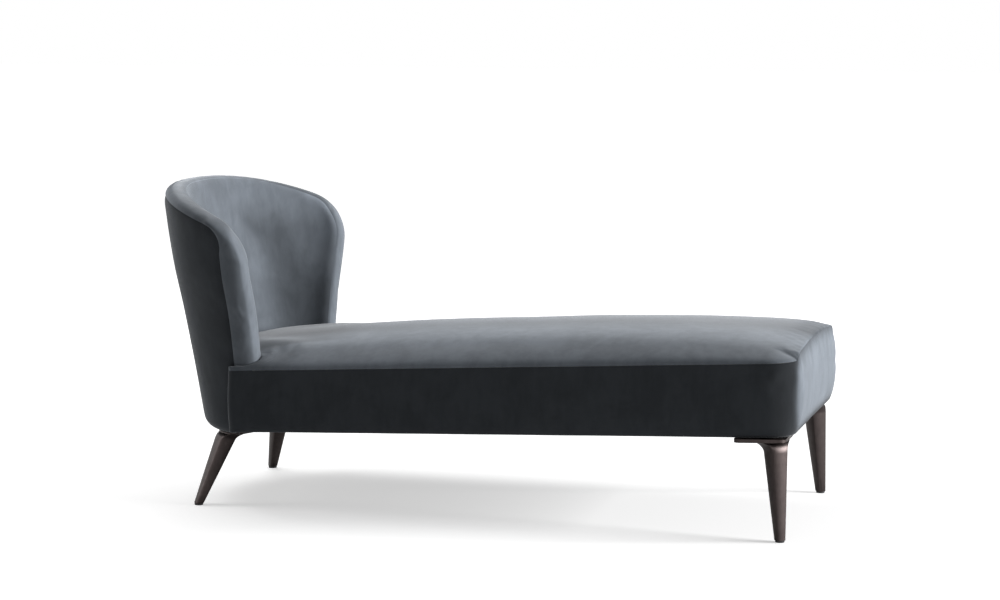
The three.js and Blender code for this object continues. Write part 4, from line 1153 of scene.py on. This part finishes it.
def foot_leg(side, name):
    """A foot leg: outer faces plumb, under an L-shaped flange that follows the sloping underside."""
    s = sizes()
    overhang, setback = 3 * mm, 18 * mm
    arm, width, thick = 118 * mm, 54 * mm, s.flange_thickness
    outer_corner, inner_corner, arm_corners = 28 * mm, 13 * mm, 15 * mm
    outer_x = s.block_rear + s.seat_length - setback
    outer_y = s.seat_width / 2 + overhang
    tilt = math.atan2(s.underside_foot - s.underside_rear, s.seat_length)
    top = underside(s.seat_length - setback - s.leg_top) - thick - 2 * seam_to_metal
    levels = leg_levels(top, 24 * mm, lambda share, half, flare: (outer_x - half, outer_y - half))
    leg = recessed(leg_post(name, levels), outer_x - s.leg_tip, outer_y - s.leg_tip)
    flange = joined_with(block((outer_x - arm, outer_y - width, -thick), (outer_x, outer_y, 0)),
                         block((outer_x - width, outer_y - arm, -thick), (outer_x, outer_y, 0)))
    for inset, radius, segments in ((0, outer_corner, 8), (width, inner_corner, 6)):
        corner = Vector((outer_x - inset, outer_y - inset))
        rounded_edges(flange, radius, segments, lambda p: (p.xy - corner).length < 2 * mm)
    rounded_edges(flange, arm_corners, 7,
                  lambda p: p.x < outer_x - arm + 1 * mm or p.y < outer_y - arm + 1 * mm)
    pivot = Vector((s.block_rear, 0, s.underside_rear - seam_to_metal))
    for vertex in flange.data.vertices:
        run, rise = vertex.co.x - pivot.x, vertex.co.z
        vertex.co.x = pivot.x + run * math.cos(tilt) - rise * math.sin(tilt)
        vertex.co.z = pivot.z + run * math.sin(tilt) + rise * math.cos(tilt)
    return finished_leg(leg, flange, side)


def rear_leg(side, name):
    """A rear leg: splayed back and out, under the shell, with an arm inward under the seat."""
    s = sizes()
    top_x, top_y = s.block_rear - 46 * mm, 182 * mm
    tip_x, tip_y = s.block_rear - 95 * mm, 250 * mm
    arm, half_arm, boss = 94 * mm, 20 * mm, 14 * mm
    flange_top = s.back_base - seam_to_metal
    flange_low = flange_top - s.flange_thickness
    levels = leg_levels(flange_low, 16 * mm, lambda share, half, flare: (
        tip_x + (top_x - tip_x) * share + flare, tip_y + (top_y - tip_y) * share - flare))
    leg = recessed(leg_post(name, levels), tip_x, tip_y)
    arm_x, arm_end = top_x + 14 * mm, top_y - arm
    plate = block((arm_x - half_arm, arm_end, flange_low), (arm_x + half_arm, top_y + half_arm, flange_top))
    rounded_edges(plate, half_arm * 0.98, 9, lambda p: True)
    boss_top = underside(arm_x - half_arm - s.block_rear) - seam_to_metal
    boss_y = arm_end + half_arm + 7 * mm
    joined_with(plate, rod(boss, flange_top - s.flange_thickness / 2, boss_top, arm_x, boss_y, 40))
    return finished_leg(leg, plate, side)


def glide(name, x, y):
    """A nylon glide: a low button with a stem up into the leg."""
    stem = rod(4 * mm, 2 * mm, glide_height + 12 * mm, x, y, 20)
    button = rod(10.5 * mm, 0, glide_height, x, y, 40)
    picked(button, "EDGE", lambda mesh, edge: all(v.z < 0.1 * mm for v in edge_ends(mesh, edge)))
    bpy.ops.mesh.bevel(offset=1.4 * mm, segments=3, affect="EDGES")
    out_of_edit()
    joined_with(button, stem)
    button.name = name
    return smooth_shaded(button, 35)


# Bottom cloths
lining_thickness = 1 * mm
lining_gap = 0.1 * mm


def seat_bottom_cloth():
    """Black cloth over the seat's underside, inside the hem, with a neck that runs in under the back."""
    s = sizes()
    inset = hem_width + seam_to_metal
    half_width = s.seat_width / 2 - s.underside_tuck - inset
    foot_x = s.seat_length - s.underside_tuck - inset
    angle = np.linspace(quarter, 0, 16)
    middle, facing = sheet_at(angle, 0 * angle, np.full(16, s.underside_rear))
    neck_line = (middle - facing * (s.pad_thickness / 2 + inset))[:, :2]
    neck_half = float(np.interp(inset, *neck_line.T))
    neck_line = neck_line[neck_line[:, 0] < inset - 2 * mm]
    inner, outer = np.linspace(0, 1, 13), np.linspace(neck_half, half_width, 8)[1:]
    rows = []
    for x, width in [*neck_line.tolist(), (inset, neck_half)]:
        y = np.concatenate([max(width, 1 * mm) * inner, outer])
        rows.append(np.column_stack([np.full(len(y), x), y]))
    neck_rows = len(rows) - 1
    corner = s.foot_corner - s.underside_tuck - inset
    for x in [*np.linspace(inset, foot_x - corner, 90)[1:],
              *(foot_x - corner * (1 - np.linspace(0, 1, 9)[1:]))]:
        across, along = rounded_corner(half_width - y, np.full(len(y), foot_x - x), corner)
        rows.append(np.column_stack([foot_x - along, half_width - across]))
    half = np.array(rows)
    grid = np.concatenate([half[:, ::-1], half[:, 1:] * [1, -1]], axis=1)
    grid = np.concatenate([grid, underside(grid[..., :1]) + lining_gap], axis=2)
    keep = np.ones((grid.shape[0] - 1, grid.shape[1] - 1), bool)
    keep[:neck_rows, :len(outer)] = keep[:neck_rows, -len(outer):] = False
    return surface("seat_bottom_cloth", grid[:, ::-1], keep[:, ::-1])


def back_bottom_cloth():
    """Black cloth over the back's curved underside."""
    s = sizes()
    depth = through(depth_shares, np.array([s.back_base]))[0]
    angle = np.linspace(math.asin((s.wing_reach - wing_straight() + 2 * mm) / depth), quarter, 50)
    middle, facing = sheet_at(angle, 0 * angle, np.full(50, s.back_base))
    facing[:, 2] = 0
    half = np.array([middle - facing * offset for offset in np.linspace(27, 3, 6) * mm])
    half[..., 2] += lining_gap
    return surface("back_bottom_cloth", mirrored_grid(half))


def slack(piece, depth, seed):
    """Draws a stapled cloth up a little away from its edges."""
    place = coordinates(piece)
    held = 1 - np.exp(-from_border(piece) / (45 * mm))
    place[:, 2] += depth * held * (0.6 + 0.4 * cloudy(place, 60 * mm, seed))
    set_coordinates(piece, place)
    return piece


def stapled(piece, node_name):
    """Thickens a bottom cloth, hangs it on the root, hides the solid it stands for and gives it its finish.
    """
    modified(piece, "SOLIDIFY", thickness=lining_thickness, offset=1, use_rim=True)
    dressed(piece, node_name, "lining")
    return piece


# One operator for each piece or group of like pieces
class CHAISE_OT_seat_top(bpy.types.Operator):
    """Make the crowned velvet top of the seat"""

    bl_idname = "chaise.seat_top"
    bl_label = "Seat top"

    def execute(self, context):
        piece = seat_top_panel()
        place = coordinates(piece)
        undulating(piece, 1.2 * mm, 170 * mm, 3)
        pushed(piece, gathers_at_foot(place, 1) + gathers_at_foot(place, -1))
        puckered(piece, 0.7 * mm, 16 * mm, 26 * mm, 5)
        finished_cloth(drawn_in(piece))
        # Painted light and shade on the top: a painted shadow between the wings where the back shades the
        # seat, lighter and darker bands across its width for how light falls on the crown, and a little
        # painted shade towards the foot
        place = coordinates(piece)
        forward, across = place[:, 0] - sizes().block_rear, place[:, 1]
        wing_line = 0.232 - 0.25 * forward
        painted_back_shadow = eased(wing_line - np.abs(across), -8 * mm, 22 * mm)
        painted_back_shadow *= 1 - eased(forward, 0.12, 0.32)
        near_side = 0.42 * eased(across, -0.27, -0.17)
        middle = -0.75 * eased(across, -0.14, -0.03)
        far_side = 0.33 * eased(across, 0.05, 0.22)
        towards_foot = -0.12 * eased(forward, 0.6, 1.1)
        painted_shading(piece, -0.85 * painted_back_shadow + near_side + middle + far_side + towards_foot)
        dressed(piece, "seat_top_cover", "velvet_top")
        return {"FINISHED"}


class CHAISE_OT_seat_boxing(bpy.types.Operator):
    """Make the velvet band round the seat's sides and foot end"""

    bl_idname = "chaise.seat_boxing"
    bl_label = "Seat boxing"

    def execute(self, context):
        piece = seat_boxing()
        undulating(piece, 0.9 * mm, 120 * mm, 11)
        s = sizes()
        foot_x, seam = s.block_rear + s.seat_length, seam_height(s.seat_length) + s.end_arch
        place = coordinates(piece)
        for y, length, width, height in foot_ridges:
            path = [(foot_x, y * mm, seam), (foot_x + 6 * mm, (y + 5) * mm, seam - length / 2 * mm),
                    (foot_x + 8 * mm, (y + 2) * mm, seam - length * mm)]
            pushed(piece, -fold(place, path, width * mm, height * mm))
        puckered(piece, 0.7 * mm, 14 * mm, 22 * mm, 13)
        finished_cloth(drawn_in(piece))
        # Painted shade: the sides are darkened, the more so close to the foot corners, while the foot end
        # is left as it is
        to_end = foot_x - coordinates(piece)[:, 0]
        at_corner = 1 - eased(to_end, 30 * mm, 70 * mm)
        painted_shading(piece, (-0.27 - 0.33 * at_corner) * eased(to_end, -1 * mm, 9 * mm))
        dressed(piece, "seat_side_cover", "velvet_sides")
        return {"FINISHED"}


class CHAISE_OT_back_inner(bpy.types.Operator):
    """Make the velvet panel that curves round the sitter"""

    bl_idname = "chaise.back_inner"
    bl_label = "Back, inner panel"

    def execute(self, context):
        piece = back_inner_panel()
        undulating(piece, 1.6 * mm, 140 * mm, 17)
        place = coordinates(piece)
        for path, width, depth in pulled_creases:
            for side in sides.values():
                pushed(piece, -fold(place, np.array(path) * [1, side, 1], width * mm, depth * mm))
        finished_cloth(piece, crease=1.0)
        # Painted light and shade: the panel lifted a little overall, painted shade in the hollow where the
        # back turns, and painted light on the wings' inner faces
        place = coordinates(piece)
        aside = np.abs(place[:, 1])
        shade_edge_aside = np.interp(place[:, 2], [0.59, 0.68], [0.20, 0.12])
        painted_hollow_shade = eased(aside, shade_edge_aside - 0.025, shade_edge_aside + 0.035)
        painted_hollow_shade *= 1 - eased(place[:, 2], 0.60, 0.71)
        painted_wing_light = 0.5 * eased(aside, 0.25, 0.30) + 1.1 * eased(aside, 0.30, 0.34)
        painted_shading(piece, 0.2 - 0.5 * painted_hollow_shade + painted_wing_light)
        dressed(piece, "back_inside_cover", "velvet_inside")
        return {"FINISHED"}


class CHAISE_OT_back_band(bpy.types.Operator):
    """Make the velvet band round the pad's rim and wings"""

    bl_idname = "chaise.back_band"
    bl_label = "Back, border band"

    def execute(self, context):
        piece = groove(back_border_band(), 1.5 * mm, 2.5 * mm)
        finished_cloth(piece, crease=1.0)
        # Painted light and shade by the way the band faces: painted light where it faces the foot end,
        # painted shade where it faces up
        forward, _, upward = at_points(piece, "normal").T
        painted_shading(piece, 0.30 + 0.75 * eased(forward, 0.60, 0.88) - 0.15 * eased(upward, 0.3, 0.8))
        dressed(piece, "back_border_band", "velvet_band")
        return {"FINISHED"}


class CHAISE_OT_back_outer(bpy.types.Operator):
    """Make the shell's velvet cover"""

    bl_idname = "chaise.back_outer"
    bl_label = "Back, outer cover"

    def execute(self, context):
        piece = undulating(back_outer_cover(), 0.8 * mm, 180 * mm, 29)
        puckered(piece, 0.6 * mm, 12 * mm, 28 * mm, 31)
        finished_cloth(groove(piece, 3.6 * mm, 6 * mm))
        dressed(piece, "back_outside_cover", "velvet_shell")
        return {"FINISHED"}


class CHAISE_OT_foam(bpy.types.Operator):
    """Make the seat's and the back's foam, pressed in under the covers"""

    bl_idname = "chaise.foam"
    bl_label = "Foam"

    def execute(self, context):
        for name, node_name in (("seat_foam", "seat_foam_core"), ("back_padding", "back_foam")):
            piece = bpy.data.objects.new(name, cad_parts[node_name].data.copy())
            piece.data.name = name
            context.collection.objects.link(piece)
            merged(piece)
            modified(piece, "REMESH", mode="VOXEL", voxel_size=7 * mm)
            modified(piece, "DISPLACE", strength=-8 * mm, mid_level=0)
            dressed(piece, node_name, "foam")
        return {"FINISHED"}


class CHAISE_OT_bottom_cloths(bpy.types.Operator):
    """Make the black cloths under the seat and the back"""

    bl_idname = "chaise.bottom_cloths"
    bl_label = "Bottom cloths"

    def execute(self, context):
        cloth = slack(seat_bottom_cloth(), 2 * mm, 41)
        stapled(cloth, "seat_dust_cover")
        length = 2 * (whole_run(sizes().back_base)[0] - wing_straight())
        stapled(back_bottom_cloth(), "back_dust_cover")
        return {"FINISHED"}


class CHAISE_OT_legs(bpy.types.Operator):
    """Make the four cast legs"""

    bl_idname = "chaise.legs"
    bl_label = "Cast legs"

    def execute(self, context):
        for name, side in sides.items():
            for kind, make in (("foot_leg", foot_leg), ("rear_leg", rear_leg)):
                dressed(make(side, f"{kind}_{name}_cast"), f"{kind}_{name}", "metal")
        return {"FINISHED"}


class CHAISE_OT_glides(bpy.types.Operator):
    """Make the four nylon glides"""

    bl_idname = "chaise.glides"
    bl_label = "Glides"

    def execute(self, context):
        for node_name in [f"{kind}_glide_{name}" for name in sides for kind in ("foot", "rear")]:
            low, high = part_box(node_name)
            centre = (low + high) / 2
            dressed(glide(f"{node_name}_nylon", centre.x, centre.y), node_name, "nylon")
        return {"FINISHED"}


node_finishes = {
    "board": "plywood", "rail": "timber", "block": "timber", "webbing": "webbing", "screw": "zinc",
    "bolt": "zinc", "stud": "zinc",
}


class CHAISE_OT_frame_finishes(bpy.types.Operator):
    """Give the timber frame, webbing and bolts their finishes"""

    bl_idname = "chaise.frame_finishes"
    bl_label = "Frame finishes"

    def execute(self, context):
        for name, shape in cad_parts.items():
            if not shape.hide_render:
                part = next(part for part in node_finishes if part in name)
                finished_in(shape, node_finishes[part])
        return {"FINISHED"}


# The studio. Softboxes: place, aim, width, height and power.
softboxes = {
    "key_softbox": ((7.0, 0.3, 2.0), (-0.4, 0, 0.5), 3.0, 2.4, 850),
    "top_softbox": ((-1.3, 0.9, 3.1), (-0.1, 0.0, 0.3), 2.8, 1.8, 66),
    "rear_softbox": ((-3.0, -0.4, 1.4), (-0.7, 0, 0.5), 0.9, 1.6, 13),
    "front_softbox": ((0.8, -6.2, 0.7), (0.0, 0, 0.2), 3.2, 1.6, 26),
}
camera_place = (1.6925, -5.985, 1.238)
camera_tilt, camera_turn = math.radians(83.08), math.radians(15.60)
lens_length, film_width = 94.57, 36
white = (1, 1, 1, 1)


class CHAISE_OT_studio(bpy.types.Operator):
    """Set up the floor, the soft lights and the camera"""

    bl_idname = "chaise.studio"
    bl_label = "Studio"

    def execute(self, context):
        bpy.ops.object.select_all(action="DESELECT")
        bpy.ops.mesh.primitive_plane_add(size=60, location=(0, 0, -0.2 * mm))
        floor = context.object
        floor.name = "studio_floor"
        made, tree, place = material("matt_white_floor")
        lit = node(tree, "ShaderNodeBsdfDiffuse", {"Color": (*colours().floor, 1)})
        away = node(tree, "ShaderNodeVectorMath", [place], operation="LENGTH").outputs["Value"]
        rise = node(tree, "ShaderNodeMapRange", {
            "Value": away, "From Min": 1.3, "From Max": 3.2, "To Min": 0.50, "To Max": 1},
            interpolation_type="SMOOTHSTEP")
        rays = node(tree, "ShaderNodeLightPath").outputs
        lift = node(tree, "ShaderNodeMath", [rays["Is Camera Ray"], rise], operation="MULTIPLY")
        glow = node(tree, "ShaderNodeEmission", {"Color": white, "Strength": lift})
        both = node(tree, "ShaderNodeAddShader", [lit, glow])
        node(tree, "ShaderNodeOutputMaterial", {"Surface": both})
        floor.data.materials.append(made)

        world = bpy.data.worlds.new("studio_air")
        context.scene.world = world
        world.use_nodes = True
        tree = world.node_tree
        tree.nodes.clear()
        air = node(tree, "ShaderNodeBackground", {"Color": white, "Strength": 0.10})
        bright = node(tree, "ShaderNodeBackground", {"Color": white, "Strength": 1})
        rays = node(tree, "ShaderNodeLightPath").outputs
        seen = rays["Is Camera Ray"]
        for kind in ("Is Glossy Ray", "Is Transmission Ray"):
            seen = node(tree, "ShaderNodeMath", [seen, rays[kind]], operation="MAXIMUM")
        mixed = node(tree, "ShaderNodeMixShader", [seen, air, bright])
        node(tree, "ShaderNodeOutputWorld", {"Surface": mixed})

        for name, (location, target, width, height, power) in softboxes.items():
            light = bpy.data.lights.new(name, "AREA")
            light.shape = "RECTANGLE"
            light.size, light.size_y, light.energy = width, height, power
            lamp = bpy.data.objects.new(name, light)
            lamp.location = location
            lamp.rotation_euler = (Vector(target) - Vector(location)).to_track_quat("-Z", "Y").to_euler()
            context.collection.objects.link(lamp)

        lens = bpy.data.cameras.new("photo_camera")
        lens.sensor_width, lens.lens = film_width, lens_length
        camera = bpy.data.objects.new("photo_camera", lens)
        camera.location = camera_place
        camera.rotation_euler = (camera_tilt, 0, camera_turn)
        context.collection.objects.link(camera)
        context.scene.camera = camera
        context.scene.view_settings.view_transform = "Standard"
        return {"FINISHED"}


operators = [
    CHAISE_OT_studio, CHAISE_OT_seat_top, CHAISE_OT_seat_boxing, CHAISE_OT_back_inner, CHAISE_OT_back_band,
    CHAISE_OT_back_outer, CHAISE_OT_foam, CHAISE_OT_bottom_cloths, CHAISE_OT_legs, CHAISE_OT_glides,
    CHAISE_OT_frame_finishes,
]


class CHAISE_PT_parts(bpy.types.Panel):
    """Lists the chaise longue's parts in the sidebar"""

    bl_idname = "CHAISE_PT_parts"
    bl_label = "Chaise longue"
    bl_space_type = "VIEW_3D"
    bl_region_type = "UI"
    bl_category = "Chaise"

    def draw(self, context):
        for operator in operators:
            self.layout.operator(operator.bl_idname)
        for group in (context.scene.chaise_sizes, context.scene.chaise_colours):
            box = self.layout.box()
            for name in group.__annotations__:
                box.prop(group, name)


classes = [ChaiseSizes, ChaiseColours, *operators, CHAISE_PT_parts]


def register():
    for kind in classes:
        bpy.utils.register_class(kind)
    bpy.types.Scene.chaise_sizes = PointerProperty(type=ChaiseSizes)
    bpy.types.Scene.chaise_colours = PointerProperty(type=ChaiseColours)


def unregister():
    del bpy.types.Scene.chaise_sizes, bpy.types.Scene.chaise_colours
    for kind in reversed(classes):
        bpy.utils.unregister_class(kind)


def main():
    register()
    make_finishes()
    for operator in operators:
        group, name = operator.bl_idname.split(".")
        getattr(getattr(bpy.ops, group), name)()


if __name__ == "__main__":
    main()
